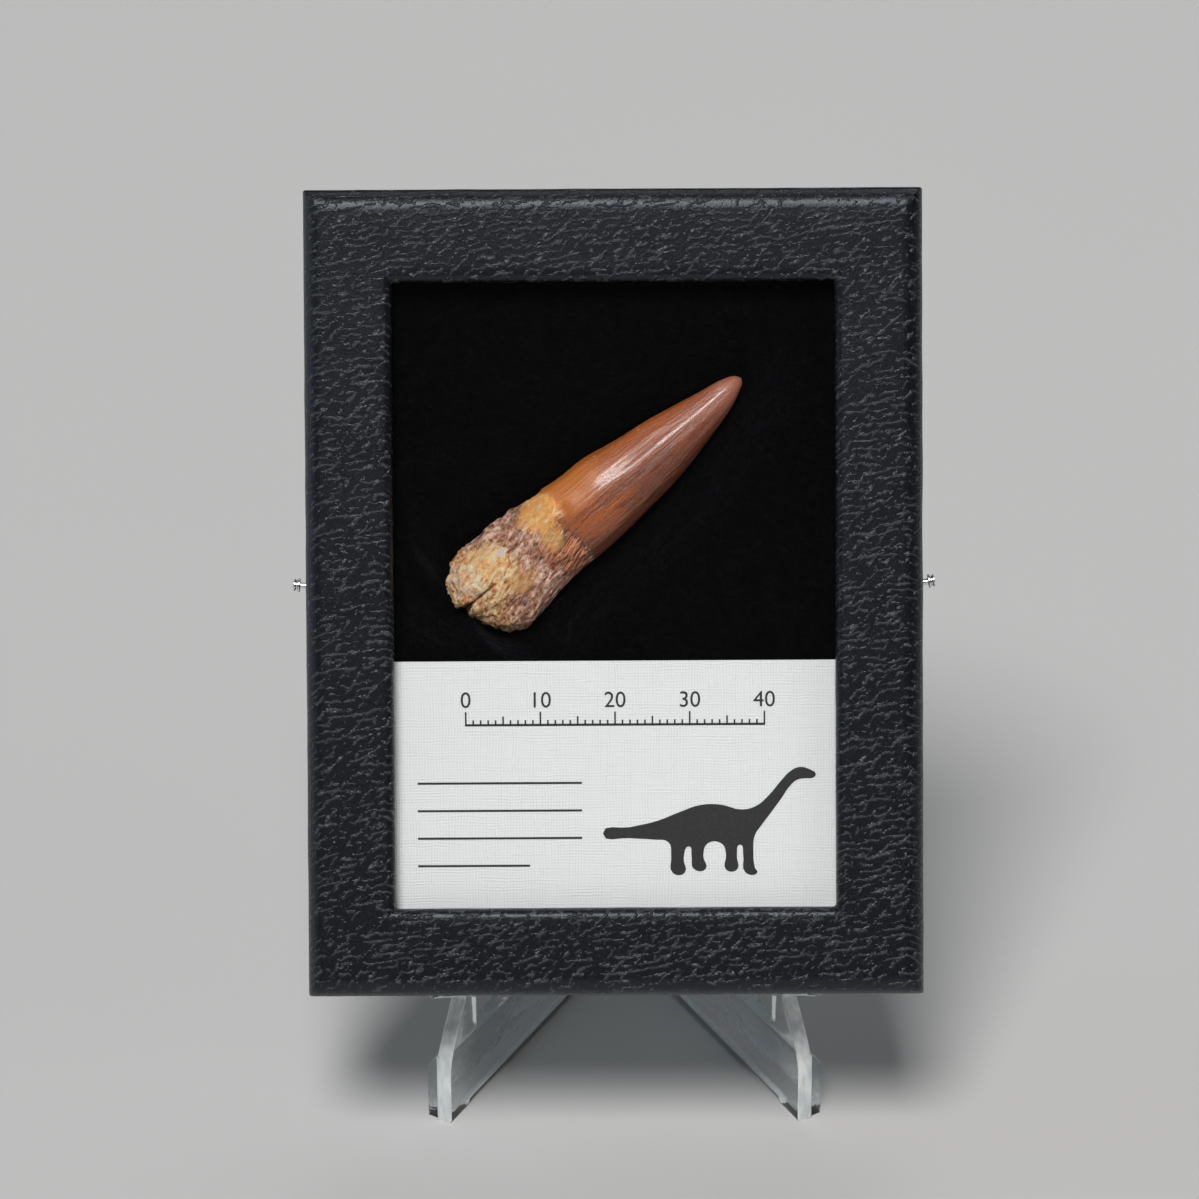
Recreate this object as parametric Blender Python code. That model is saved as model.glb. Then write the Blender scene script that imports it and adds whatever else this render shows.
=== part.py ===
"""A fossil tooth in a small glass-topped display case that leans on a clear two-arm easel.

Metres, +Z up. The face of the case looks towards -Y, and the easel's feet stand on Z = 0.
The case is modelled upright in its own frame: X across, Z up the face, Y from the back (0)
to the face (negative). An empty at its lower back edge leans it and sets it on the easel.
"""

import math

import bmesh
import bpy
from mathutils import Vector, noise

MM = 0.001
GAP = 0.3 * MM

# Case: a shallow lid with a glazed window, over a tray
CASE_WIDTH = 82.55 * MM
CASE_HEIGHT = 107.95 * MM
CASE_DEPTH = 19.05 * MM
CASE_LEAN = math.radians(22)
EDGE_RADIUS = 1.2 * MM
LID_WALL = 1.5 * MM
LID_FACE = 1.6 * MM
WINDOW_WIDTH = 58.8 * MM
WINDOW_HEIGHT = 83.4 * MM
WINDOW_SILL = 12.0 * MM
WINDOW_RADIUS = 1.0 * MM
LIP_RADIUS = 0.6 * MM
INNER_RADIUS = 0.4 * MM
GLASS_THICKNESS = 1.8 * MM
GLASS_ARRIS = 0.15 * MM
TRAY_WALL = 1.5 * MM
TRAY_RECESS = 0.8 * MM
TRAY_PLAY = 0.35 * MM
CARD_WIDTH = 75.0 * MM
CARD_BOTTOM = 4.0 * MM
CARD_TOP = 44.9 * MM
CARD_THICKNESS = 0.45 * MM
CORNER_STEPS = 3
EDGE_STEPS = 3

# Depths in the case, from the face towards the back
FACE_Y = -CASE_DEPTH
GLASS_FRONT_Y = FACE_Y + LID_FACE + GAP
GLASS_BACK_Y = GLASS_FRONT_Y + GLASS_THICKNESS
RIM_Y = GLASS_BACK_Y + GAP
CARD_BACK_Y = RIM_Y + CARD_THICKNESS
PAD_FRONT_Y = RIM_Y + 0.15 * MM
PAD_UNDER_CARD_Y = CARD_BACK_Y + GAP
TRAY_FLOOR_Y = -(TRAY_RECESS + TRAY_WALL)
PAD_BACK_Y = TRAY_FLOOR_Y - GAP

# Pins through the lid and tray walls at mid height
PIN_RADIUS = 0.4 * MM
PIN_HOLE_RADIUS = 0.75 * MM
PIN_HEAD_RADIUS = 0.95 * MM
PIN_LENGTH = 12.5 * MM
PIN_SHOWING = 1.2 * MM
PIN_HEAD_THICKNESS = 0.9 * MM
PIN_Z = CASE_HEIGHT / 2 + 0.9 * MM
PIN_Y = -9.0 * MM
PIN_TILT = {"left": math.radians(4), "right": math.radians(9)}

# Tooth: its root end, the rise of its axis, and its stations from root to tip.
# A station is (along the axis, centre line, half width, half thickness) in millimetres.
TOOTH_BASE = Vector((-18.8 * MM, -9.7 * MM, 52.8 * MM))
TOOTH_RISE = math.radians(39.5)
TOOTH_FORWARD = 1.2 * MM
TOOTH_STATIONS = (
    (-2.35, 1.50, 0.00, 0.00),
    (-2.10, 1.35, 1.95, 1.80),
    (-1.30, 0.95, 3.35, 3.10),
    (-0.20, 0.30, 5.00, 4.10),
    (1.30, -0.10, 6.45, 4.70),
    (3.20, -0.28, 6.95, 4.95),
    (5.50, -0.30, 7.00, 5.05),
    (8.60, 0.05, 6.65, 5.05),
    (12.00, 0.10, 6.30, 4.95),
    (16.50, -0.12, 5.80, 4.80),
    (22.00, -0.10, 5.55, 4.60),
    (27.00, -0.18, 5.00, 4.20),
    (32.50, -0.10, 4.42, 3.70),
    (38.00, -0.03, 3.28, 2.80),
    (43.00, 0.10, 2.08, 1.85),
    (45.60, 0.15, 0.98, 0.95),
    (46.35, 0.12, 0.55, 0.52),
    (46.70, 0.10, 0.00, 0.00),
)
TOOTH_RINGS_PER_STATION = 3
TOOTH_SIDES = 44
CROWN_START = 16.4 * MM
CROWN_LINE_SWING = 0.8 * MM
ENAMEL_STEP = 0.15 * MM
ENAMEL_STEP_RUN = 0.9 * MM
FLUTES = 13
FLUTE_DEPTH = 0.06 * MM
FLUTE_FADE = 12 * MM
ROOT_LUMP = 0.28 * MM
LUMP_SCALE = 0.42
FINE_LUMP_SCALE = 0.95
CRACK_START = Vector((-2.2 * MM, -0.05 * MM))
CRACK_END = Vector((3.9 * MM, 0.15 * MM))
CRACK_DEPTH = 0.9 * MM
CRACK_WIDTH = 0.7 * MM

# Pad: the felt dips round the tooth and holds it in a pocket
PAD_CELL = 2.4 * MM
DIP_REACH = 9.0 * MM
DIP_BEHIND_AXIS = 0.5 * MM
CARD_STEP = 1.2 * MM

# Easel: two clear arms that open from a hinge behind the case
ARM_SPLAY = math.radians(25)
ARM_THICKNESS = 2.2 * MM
ARM_EDGE = 0.22 * MM
FOOT_HALF_SPREAD = 24.0 * MM
EASEL_SHIFT = 1.1 * MM
CASE_BACK_FROM_FOOT = 5.63 * MM
CASE_BACK_HEIGHT = 19.4 * MM
ARM_REAR_U = 56.2 * MM
RAIL_THICKNESS = 1.7 * MM
RAIL_TOP = 9.7 * MM
RAIL_CHAMFER = 1.7 * MM
FOOT_RELIEF = 0.6 * MM
FRONT_PAD_U = 5.5 * MM
REAR_PAD_U = 46.0 * MM
RAIL_END_U = 52.0 * MM
HINGE_U = 59.15 * MM
BARREL_RADIUS = 2.6 * MM
BORE_RADIUS = 1.3 * MM
HINGE_PIN_RADIUS = 1.0 * MM
HINGE_HEAD_RADIUS = 2.2 * MM
HINGE_HEAD_THICKNESS = 0.8 * MM
KNUCKLE_TOP = 50.0 * MM
KNUCKLES = {
    "left": ((1.0 * MM, 16.0 * MM), (35.0 * MM, KNUCKLE_TOP)),
    "right": ((16.3 * MM, 34.7 * MM),),
}

# Outlines of an arm in its own plane, in millimetres: (from the foot front, up, corner radius)
ARM_OUTLINE = (
    (0.0, 0.0, 0.0),
    (5.5, 0.0, 0.0),
    (6.1, 0.6, 0.0),
    (45.4, 0.6, 0.0),
    (46.0, 0.0, 0.0),
    (ARM_REAR_U / MM, 0.0, 0.0),
    (ARM_REAR_U / MM, KNUCKLE_TOP / MM, 3.0),
    (33.2, 79.5, 4.0),
    (5.6, 21.0, 0.0),
    (-3.8, 24.0, 0.0),
    (-4.25, 21.9, 0.0),
    (5.3, 17.3, 0.5),
    (0.0, 9.6, 9.0),
)
ARM_WINDOW = (
    (8.3, 10.3, 1.5),
    (50.0, 11.0, 2.5),
    (48.0, 46.0, 3.0),
    (27.5, 58.0, 3.0),
    (8.3, 15.5, 1.5),
)


def clear_scene():
    for thing in list(bpy.data.objects):
        bpy.data.objects.remove(thing)


def material(name, colour, roughness, metallic=0.0, alpha=1.0):
    made = bpy.data.materials.new(name)
    made.use_nodes = True
    shader = made.node_tree.nodes["Principled BSDF"]
    shader.inputs["Base Color"].default_value = (*colour, 1.0)
    shader.inputs["Roughness"].default_value = roughness
    shader.inputs["Metallic"].default_value = metallic
    shader.inputs["Alpha"].default_value = alpha
    return made


def empty(name, parent=None, location=(0, 0, 0)):
    made = bpy.data.objects.new(name, None)
    made.parent = parent
    made.location = location
    bpy.context.collection.objects.link(made)
    return made


def solid(name, mesh_data, finish, parent, smooth=math.radians(35)):
    """A named object from a bmesh, with its faces turned outwards."""
    bmesh.ops.recalc_face_normals(mesh_data, faces=mesh_data.faces)
    mesh = bpy.data.meshes.new(name)
    mesh_data.to_mesh(mesh)
    mesh_data.free()
    mesh.shade_smooth()
    mesh.set_sharp_from_angle(angle=smooth)
    if finish:
        mesh.materials.append(finish)
    made = bpy.data.objects.new(name, mesh)
    made.parent = parent
    bpy.context.collection.objects.link(made)
    return made


def tool(name, mesh_data, parent):
    """A cutter, or a shape that is joined to another: left out of the part itself."""
    made = solid(name, mesh_data, None, parent)
    made.hide_render = True
    made.display_type = "WIRE"
    return made


def combine(target, operand, operation):
    modifier = target.modifiers.new(operand.name, "BOOLEAN")
    modifier.object = operand
    modifier.operation = operation
    modifier.solver = "EXACT"


def join_loops(mesh_data, loops, closed=False):
    """Faces between loops of equal length: a ring if closed, capped at both ends if not."""
    rows = [[mesh_data.verts.new(point) for point in loop] for loop in loops]
    count = len(rows[0])
    pairs = list(zip(rows, rows[1:]))
    if closed:
        pairs.append((rows[-1], rows[0]))
    for low, high in pairs:
        for i in range(count):
            j = (i + 1) % count
            mesh_data.faces.new((low[i], low[j], high[j], high[i]))
    if not closed:
        mesh_data.faces.new(list(reversed(rows[0])))
        mesh_data.faces.new(rows[-1])
    return rows


def rounded_loop(half_x, half_z, centre_z, radius, y):
    """A rounded rectangle in the plane of the face."""
    points = []
    for quarter, (side_x, side_z) in enumerate(((1, 1), (-1, 1), (-1, -1), (1, -1))):
        for step in range(CORNER_STEPS + 1):
            turn = math.pi / 2 * (quarter + step / CORNER_STEPS)
            x = side_x * (half_x - radius) + radius * math.cos(turn)
            z = side_z * (half_z - radius) + radius * math.sin(turn)
            points.append((x, y, centre_z + z))
    return points


def quarter_turn(steps):
    """Pairs (1 - cos, 1 - sin) along a rounded edge, from its start to its end."""
    for step in range(steps + 1):
        angle = math.pi / 2 * step / steps
        yield 1 - math.cos(angle), 1 - math.sin(angle)


def build_lid(parent, finish):
    """The leatherette frame: outer wall, rounded edge, face, window lip, cavity wall."""
    half_x, half_z = CASE_WIDTH / 2, CASE_HEIGHT / 2
    window_x, window_z = WINDOW_WIDTH / 2, WINDOW_HEIGHT / 2
    window_centre = WINDOW_SILL + window_z
    cavity_x, cavity_z = half_x - LID_WALL, half_z - LID_WALL
    cavity_y = FACE_Y + LID_FACE
    loops = [rounded_loop(half_x, half_z, half_z, EDGE_RADIUS, 0.0)]
    for inset, rise in quarter_turn(EDGE_STEPS):
        inset *= EDGE_RADIUS
        corner = max(EDGE_RADIUS - inset, INNER_RADIUS)
        y = FACE_Y + EDGE_RADIUS * rise
        loops.append(rounded_loop(half_x - inset, half_z - inset, half_z, corner, y))
    for drop, reach in quarter_turn(EDGE_STEPS):
        reach *= LIP_RADIUS
        corner = WINDOW_RADIUS + reach
        y = FACE_Y + LIP_RADIUS * drop
        loops.append(rounded_loop(window_x + reach, window_z + reach, window_centre, corner, y))
    loops.append(rounded_loop(window_x, window_z, window_centre, WINDOW_RADIUS, cavity_y))
    loops.append(rounded_loop(cavity_x, cavity_z, half_z, INNER_RADIUS, cavity_y))
    loops.append(rounded_loop(cavity_x, cavity_z, half_z, INNER_RADIUS, 0.0))
    mesh_data = bmesh.new()
    join_loops(mesh_data, loops, closed=True)
    return solid("case_lid", mesh_data, finish, parent)


def build_slab(name, half_x, half_z, centre_z, back_y, front_y, arris, parent, finish):
    """A flat plate with its edges broken by a small arris, such as the glass or the card."""
    radius = max(INNER_RADIUS, arris)
    loops = (
        rounded_loop(half_x - arris, half_z - arris, centre_z, radius, back_y),
        rounded_loop(half_x, half_z, centre_z, radius, back_y - arris),
        rounded_loop(half_x, half_z, centre_z, radius, front_y + arris),
        rounded_loop(half_x - arris, half_z - arris, centre_z, radius, front_y),
    )
    mesh_data = bmesh.new()
    join_loops(mesh_data, loops)
    return solid(name, mesh_data, finish, parent)


def build_tray(parent, finish):
    half_x = CASE_WIDTH / 2 - LID_WALL - TRAY_PLAY
    half_z = CASE_HEIGHT / 2 - LID_WALL - TRAY_PLAY
    centre = CASE_HEIGHT / 2
    inner_x, inner_z = half_x - TRAY_WALL, half_z - TRAY_WALL
    loops = (
        rounded_loop(half_x - INNER_RADIUS, half_z - INNER_RADIUS, centre, INNER_RADIUS, -TRAY_RECESS),
        rounded_loop(half_x, half_z, centre, INNER_RADIUS, -TRAY_RECESS - INNER_RADIUS),
        rounded_loop(half_x, half_z, centre, INNER_RADIUS, RIM_Y),
        rounded_loop(inner_x, inner_z, centre, INNER_RADIUS, RIM_Y),
        rounded_loop(inner_x, inner_z, centre, INNER_RADIUS, TRAY_FLOOR_Y),
    )
    mesh_data = bmesh.new()
    join_loops(mesh_data, loops)
    return solid("case_tray", mesh_data, finish, parent)


def tooth_row(position):
    """Axis place, centre line, half width and half thickness at a station number."""
    last = len(TOOTH_STATIONS) - 1
    index = min(int(position), last - 1)
    f = position - index
    rows = [TOOTH_STATIONS[min(max(k, 0), last)] for k in range(index - 1, index + 3)]
    values = []
    for a, b, c, d in zip(*rows):
        bend = (2 * a - 5 * b + 4 * c - d) * f * f + (3 * b - a - 3 * c + d) * f**3
        values.append(0.5 * (2 * b + (c - a) * f + bend) * MM)
    return values


def axis_y(along):
    """The tooth's axis comes forward a little towards the tip."""
    length = TOOTH_STATIONS[-1][0] * MM
    return -TOOTH_FORWARD * max(0.0, along / length) ** 2


def near_line(point, start, end):
    """Distance from a point to a line piece, and how far along it the nearest place is."""
    run = end - start
    share = min(1.0, max(0.0, (point - start).dot(run) / run.length_squared))
    return (point - start - run * share).length, share


def tooth_relief(along, side, front, angle):
    """How far the surface stands out: enamel step and flutes, root lumps and the crack."""
    crown_line = CROWN_START - CROWN_LINE_SWING * math.cos(2 * angle)
    crown = min(1.0, max(0.0, (along - crown_line) / ENAMEL_STEP_RUN))
    fade = min(1.0, max(0.0, (TOOTH_STATIONS[-1][0] * MM - along) / FLUTE_FADE))
    flute = FLUTE_DEPTH * math.cos(FLUTES * angle) * fade
    place = Vector((along, side, front)) / MM
    lump = noise.noise(place * LUMP_SCALE) + 0.5 * noise.noise(place * FINE_LUMP_SCALE)
    relief = crown * (ENAMEL_STEP + flute) + (1 - crown) * ROOT_LUMP * (lump - 0.35)
    distance, share = near_line(Vector((along, side)), CRACK_START, CRACK_END)
    if front < 0:
        relief -= CRACK_DEPTH * (1 - share) * math.exp(-((distance / CRACK_WIDTH) ** 2))
    return relief


def tooth_point(position, angle, rough):
    along, centre, width, depth = tooth_row(position)
    side = centre + width * math.cos(angle)
    front = -depth * math.sin(angle)
    outwards = Vector((0.0, front / max(depth, MM), (side - centre) / max(width, MM)))
    point = Vector((along, axis_y(along) + front, side))
    if rough:
        point += outwards * tooth_relief(along, side, front, angle)
    return point


def tooth_mesh(rings_per_station, sides, rough):
    """The tooth along its own axis: X to the tip, -Y to the glass, Z to the upper side."""
    mesh_data = bmesh.new()
    count = (len(TOOTH_STATIONS) - 1) * rings_per_station
    rows = []
    for ring in range(1, count):
        turns = [2 * math.pi * side / sides for side in range(sides)]
        points = [tooth_point(ring / rings_per_station, turn, rough) for turn in turns]
        rows.append([mesh_data.verts.new(point) for point in points])
    for low, high in zip(rows, rows[1:]):
        for i in range(sides):
            j = (i + 1) % sides
            mesh_data.faces.new((low[i], low[j], high[j], high[i]))
    root = mesh_data.verts.new(tooth_point(0, 0, False))
    tip = mesh_data.verts.new(tooth_point(len(TOOTH_STATIONS) - 1, 0, False))
    for i in range(sides):
        j = (i + 1) % sides
        mesh_data.faces.new((root, rows[0][j], rows[0][i]))
        mesh_data.faces.new((tip, rows[-1][i], rows[-1][j]))
    return mesh_data


def place_tooth(thing):
    thing.location = TOOTH_BASE
    thing.rotation_euler = (0.0, -TOOTH_RISE, 0.0)


def build_tooth(parent, finish):
    made = solid("tooth", tooth_mesh(TOOTH_RINGS_PER_STATION, TOOTH_SIDES, True), finish, parent)
    place_tooth(made)
    return made


def tooth_clearance(parent):
    """The tooth grown by the gap, which presses its pocket into the pad."""
    mesh_data = tooth_mesh(2, 28, False)
    bmesh.ops.recalc_face_normals(mesh_data, faces=mesh_data.faces)
    mesh_data.normal_update()
    for vert in mesh_data.verts:
        vert.co += vert.normal * (GAP + 0.2 * MM)
    made = tool("tooth_pocket", mesh_data, parent)
    place_tooth(made)
    return made


def to_tooth_axis(x, z):
    """A place on the face, as (along the tooth, towards its upper side)."""
    dx, dz = x - TOOTH_BASE.x, z - TOOTH_BASE.z
    cos, sin = math.cos(TOOTH_RISE), math.sin(TOOTH_RISE)
    return dx * cos + dz * sin, dz * cos - dx * sin


def half_width_at(along):
    """Half width and centre line of the tooth at a place on its axis, by straight lines."""
    rows = [[value * MM for value in row] for row in TOOTH_STATIONS]
    along = min(max(along, rows[0][0]), rows[-1][0])
    for low, high in zip(rows, rows[1:]):
        if along <= high[0]:
            share = (along - low[0]) / (high[0] - low[0])
            return [a + (b - a) * share for a, b in zip(low[1:3], high[1:3])]
    return rows[-1][1:3]


def smooth_step(value):
    value = min(1.0, max(0.0, value))
    return value * value * (3 - 2 * value)


def pad_front(x, z):
    """Depth of the felt's front: level, lower behind the card, dipped round the tooth."""
    under_card = smooth_step((CARD_TOP + GAP + CARD_STEP - z) / CARD_STEP)
    level = PAD_FRONT_Y + (PAD_UNDER_CARD_Y - PAD_FRONT_Y) * under_card
    along, side = to_tooth_axis(x, z)
    first, last = TOOTH_STATIONS[0][0] * MM, TOOTH_STATIONS[-1][0] * MM
    centre, width = half_width_at(along)
    beyond = max(first - along, along - last, 0.0)
    distance = math.hypot(max(0.0, abs(side - centre) - width), beyond)
    lip = TOOTH_BASE.y + axis_y(min(along, last)) + DIP_BEHIND_AXIS
    return lip + (level - lip) * smooth_step(distance / DIP_REACH)


def build_padding(parent, finish):
    half_x = CASE_WIDTH / 2 - LID_WALL - TRAY_PLAY - TRAY_WALL - GAP
    half_z = CASE_HEIGHT / 2 - LID_WALL - TRAY_PLAY - TRAY_WALL - GAP
    columns = round(2 * half_x / PAD_CELL)
    rows = round(2 * half_z / PAD_CELL)
    mesh_data = bmesh.new()
    grid = []
    for row in range(rows + 1):
        z = CASE_HEIGHT / 2 - half_z + 2 * half_z * row / rows
        xs = [-half_x + 2 * half_x * column / columns for column in range(columns + 1)]
        grid.append([mesh_data.verts.new((x, pad_front(x, z), z)) for x in xs])
    for low, high in zip(grid, grid[1:]):
        for i in range(columns):
            mesh_data.faces.new((low[i], low[i + 1], high[i + 1], high[i]))
    border = grid[0][:-1]
    border += [line[-1] for line in grid[:-1]]
    border += list(reversed(grid[-1]))[:-1]
    border += [line[0] for line in reversed(grid)][:-1]
    back = [mesh_data.verts.new((vert.co.x, PAD_BACK_Y, vert.co.z)) for vert in border]
    for i in range(len(border)):
        j = (i + 1) % len(border)
        mesh_data.faces.new((border[i], back[i], back[j], border[j]))
    mesh_data.faces.new(back)
    return solid("padding", mesh_data, finish, parent)


def turned(profile, sides=16):
    """A closed body turned round its own X axis from (along, radius) pairs."""
    mesh_data = bmesh.new()
    loops = []
    for along, radius in profile:
        turns = [2 * math.pi * side / sides for side in range(sides)]
        loops.append([(along, radius * math.cos(turn), radius * math.sin(turn)) for turn in turns])
    join_loops(mesh_data, loops)
    return mesh_data


def pin_profile():
    """A straight pin from its point to a flat double-rimmed head."""
    tip = -(PIN_LENGTH - PIN_SHOWING)
    waist = PIN_HEAD_RADIUS * 0.72
    head = PIN_SHOWING + PIN_HEAD_THICKNESS
    return (
        (tip, 0.06 * MM),
        (tip + 1.6 * MM, PIN_RADIUS),
        (PIN_SHOWING, PIN_RADIUS),
        (PIN_SHOWING, PIN_HEAD_RADIUS),
        (PIN_SHOWING + 0.25 * MM, PIN_HEAD_RADIUS),
        (PIN_SHOWING + 0.4 * MM, waist),
        (head - 0.35 * MM, waist),
        (head - 0.2 * MM, PIN_HEAD_RADIUS * 0.9),
        (head, PIN_HEAD_RADIUS * 0.7),
    )


def place_pin(thing, side, tilt):
    thing.location = (side * CASE_WIDTH / 2, PIN_Y, PIN_Z)
    thing.rotation_euler = (0.0, -tilt if side > 0 else math.pi + tilt, 0.0)


def build_pin(label, side, walls, parent, finish):
    tilt = PIN_TILT[label]
    made = solid("pin_" + label, turned(pin_profile()), finish, parent)
    place_pin(made, side, tilt)
    hole = turned(((-PIN_LENGTH, PIN_HOLE_RADIUS), (3 * MM, PIN_HOLE_RADIUS)), 12)
    cutter = tool("pin_hole_" + label, hole, parent)
    place_pin(cutter, side, tilt)
    for wall in walls:
        combine(wall, cutter, "DIFFERENCE")
    return made


def rounded_outline(corners, steps=4):
    """A closed outline in metres, each corner (u, v, radius) in millimetres turned into an arc."""
    points = []
    for i, (u, v, radius) in enumerate(corners):
        corner = Vector((u, v))
        if radius == 0:
            points.append(corner * MM)
            continue
        back = (Vector(corners[i - 1][:2]) - corner).normalized()
        ahead = (Vector(corners[(i + 1) % len(corners)][:2]) - corner).normalized()
        half = back.angle(ahead) / 2
        centre = corner + (back + ahead).normalized() * radius / math.sin(half)
        start = corner + back * radius / math.tan(half) - centre
        end = corner + ahead * radius / math.tan(half) - centre
        sweep = start.angle(end)
        for step in range(steps + 1):
            share = step / steps
            arm = start * math.sin((1 - share) * sweep) + end * math.sin(share * sweep)
            points.append((centre + arm / math.sin(sweep)) * MM)
    return points


def prism(outline, low, high, side, edge=0.0):
    """An outline (u, v) in the arm's plane, with thickness from low to high on one side."""
    mesh_data = bmesh.new()
    loops = [[(u, -side * w, v) for u, v in outline] for w in (low, high)]
    join_loops(mesh_data, loops)
    if edge:
        bmesh.ops.recalc_face_normals(mesh_data, faces=mesh_data.faces)
        levels = (-side * low, -side * high)
        rim = [line for line in mesh_data.edges if on_one_level(line, levels)]
        bmesh.ops.bevel(mesh_data, geom=rim, offset=edge, segments=1, affect="EDGES")
    return mesh_data


def on_one_level(line, levels):
    first, second = (vert.co.y for vert in line.verts)
    return any(abs(first - level) + abs(second - level) < 1e-6 for level in levels)


def rail_mesh(side):
    """The thicker foot rail on the arm's outer side, with its upper outer edge chamfered."""
    start = 0.5 * MM
    foot = FOOT_RELIEF
    inner = ARM_THICKNESS - 0.6 * MM
    outer = ARM_THICKNESS + RAIL_THICKNESS
    chamfer_start = ARM_THICKNESS + 0.1 * MM
    loops = []
    for w, top, inset in (
        (inner, RAIL_TOP, 0.0),
        (chamfer_start, RAIL_TOP, 0.0),
        (outer, RAIL_TOP - RAIL_CHAMFER, 0.35 * MM),
    ):
        outline = (
            (start + inset, 0.0),
            (FRONT_PAD_U, 0.0),
            (FRONT_PAD_U + foot, foot),
            (REAR_PAD_U - foot, foot),
            (REAR_PAD_U, 0.0),
            (RAIL_END_U - inset, 0.0),
            (RAIL_END_U - inset, top),
            (start + inset, top),
        )
        loops.append([(u, -side * w, v) for u, v in outline])
    mesh_data = bmesh.new()
    join_loops(mesh_data, loops)
    return mesh_data


def knuckle_mesh(side, low, high):
    """A hinge barrel with the web that ties it to the arm, as one upright prism."""
    centre = ARM_THICKNESS / 2
    web = ARM_THICKNESS / 2 - 0.15 * MM
    start = ARM_REAR_U - 3 * MM
    opening = math.asin(web / BARREL_RADIUS)
    outline = [(start, centre - web)]
    steps = 14
    for step in range(steps + 1):
        turn = -math.pi + opening + (2 * math.pi - 2 * opening) * step / steps
        u = HINGE_U + BARREL_RADIUS * math.cos(turn)
        w = centre + BARREL_RADIUS * math.sin(turn)
        outline.append((u, w))
    outline.append((start, centre + web))
    mesh_data = bmesh.new()
    join_loops(mesh_data, [[(u, -side * w, v) for u, w in outline] for v in (low, high)])
    return mesh_data


def upright_cylinder(radius, low, high, sides=16):
    mesh_data = bmesh.new()
    loops = []
    for z in (low, high):
        turns = [2 * math.pi * side / sides for side in range(sides)]
        loops.append([(radius * math.cos(turn), radius * math.sin(turn), z) for turn in turns])
    join_loops(mesh_data, loops)
    return mesh_data


def place_arm(thing, side):
    thing.location = (side * FOOT_HALF_SPREAD, 0.0, 0.0)
    thing.rotation_euler = (0.0, 0.0, math.pi / 2 + side * ARM_SPLAY)


def build_arm(label, side, seat, parent, finish):
    """One easel arm: plate, foot rail and knuckles joined, then window, seat and bore cut."""
    plate = prism(rounded_outline(ARM_OUTLINE), 0.0, ARM_THICKNESS, side, ARM_EDGE)
    arm = solid("stand_arm_" + label, plate, finish, parent)
    place_arm(arm, side)
    additions = [tool("rail_" + label, rail_mesh(side), parent)]
    for number, (low, high) in enumerate(KNUCKLES[label]):
        name = f"knuckle_{label}_{number}"
        additions.append(tool(name, knuckle_mesh(side, low, high), parent))
    for addition in additions:
        place_arm(addition, side)
        combine(arm, addition, "UNION")
    opening = prism(rounded_outline(ARM_WINDOW), -2 * MM, 6 * MM, side)
    window = tool("arm_window_" + label, opening, parent)
    place_arm(window, side)
    combine(arm, window, "DIFFERENCE")
    combine(arm, seat, "DIFFERENCE")
    bore = tool("bore_" + label, upright_cylinder(BORE_RADIUS, -MM, 60 * MM), parent)
    bore.location = hinge_place()
    combine(arm, bore, "DIFFERENCE")
    return arm


def hinge_place():
    """The hinge axis in the easel's frame, from the right arm's splay."""
    sin, cos = math.sin(ARM_SPLAY), math.cos(ARM_SPLAY)
    half = ARM_THICKNESS / 2
    return (FOOT_HALF_SPREAD - HINGE_U * sin + half * cos, HINGE_U * cos + half * sin, 0.0)


def build_hinge_pin(parent, finish):
    """A headed pin dropped through the knuckles from above."""
    sides = 16
    head = KNUCKLE_TOP + GAP
    profile = (
        (0.9 * MM, HINGE_PIN_RADIUS),
        (head, HINGE_PIN_RADIUS),
        (head, HINGE_HEAD_RADIUS),
        (head + HINGE_HEAD_THICKNESS / 2, HINGE_HEAD_RADIUS),
        (head + HINGE_HEAD_THICKNESS, HINGE_HEAD_RADIUS * 0.8),
    )
    loops = []
    for z, radius in profile:
        turns = [2 * math.pi * side / sides for side in range(sides)]
        loops.append([(radius * math.cos(turn), radius * math.sin(turn), z) for turn in turns])
    mesh_data = bmesh.new()
    join_loops(mesh_data, loops)
    made = solid("stand_hinge_pin", mesh_data, finish, parent)
    made.location = hinge_place()
    return made


def seat_cutter(parent):
    """The case's outer box grown by the gap: it trims the arms' shelves and leaning edges."""
    low = Vector((-CASE_WIDTH, -2 * CASE_DEPTH, -GAP))
    high = Vector((CASE_WIDTH, GAP, CASE_HEIGHT + 20 * MM))
    corners = ((low.x, low.z), (high.x, low.z), (high.x, high.z), (low.x, high.z))
    mesh_data = bmesh.new()
    join_loops(mesh_data, [[(x, y, z) for x, z in corners] for y in (low.y, high.y)])
    return tool("seat_cutter", mesh_data, parent)


def centre_on_floor(root):
    """Moves the whole object so that its box is centred on Z and stands on the floor."""
    bpy.context.view_layer.update()
    graph = bpy.context.evaluated_depsgraph_get()
    points = []
    for thing in bpy.data.objects:
        if thing.type == "MESH" and not thing.hide_render:
            ready = thing.evaluated_get(graph)
            points += [ready.matrix_world @ vert.co for vert in ready.data.vertices]
    low = [min(point[i] for point in points) for i in range(3)]
    high = [max(point[i] for point in points) for i in range(3)]
    root.location -= Vector(((low[0] + high[0]) / 2, (low[1] + high[1]) / 2, low[2]))
    bpy.context.view_layer.update()


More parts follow.
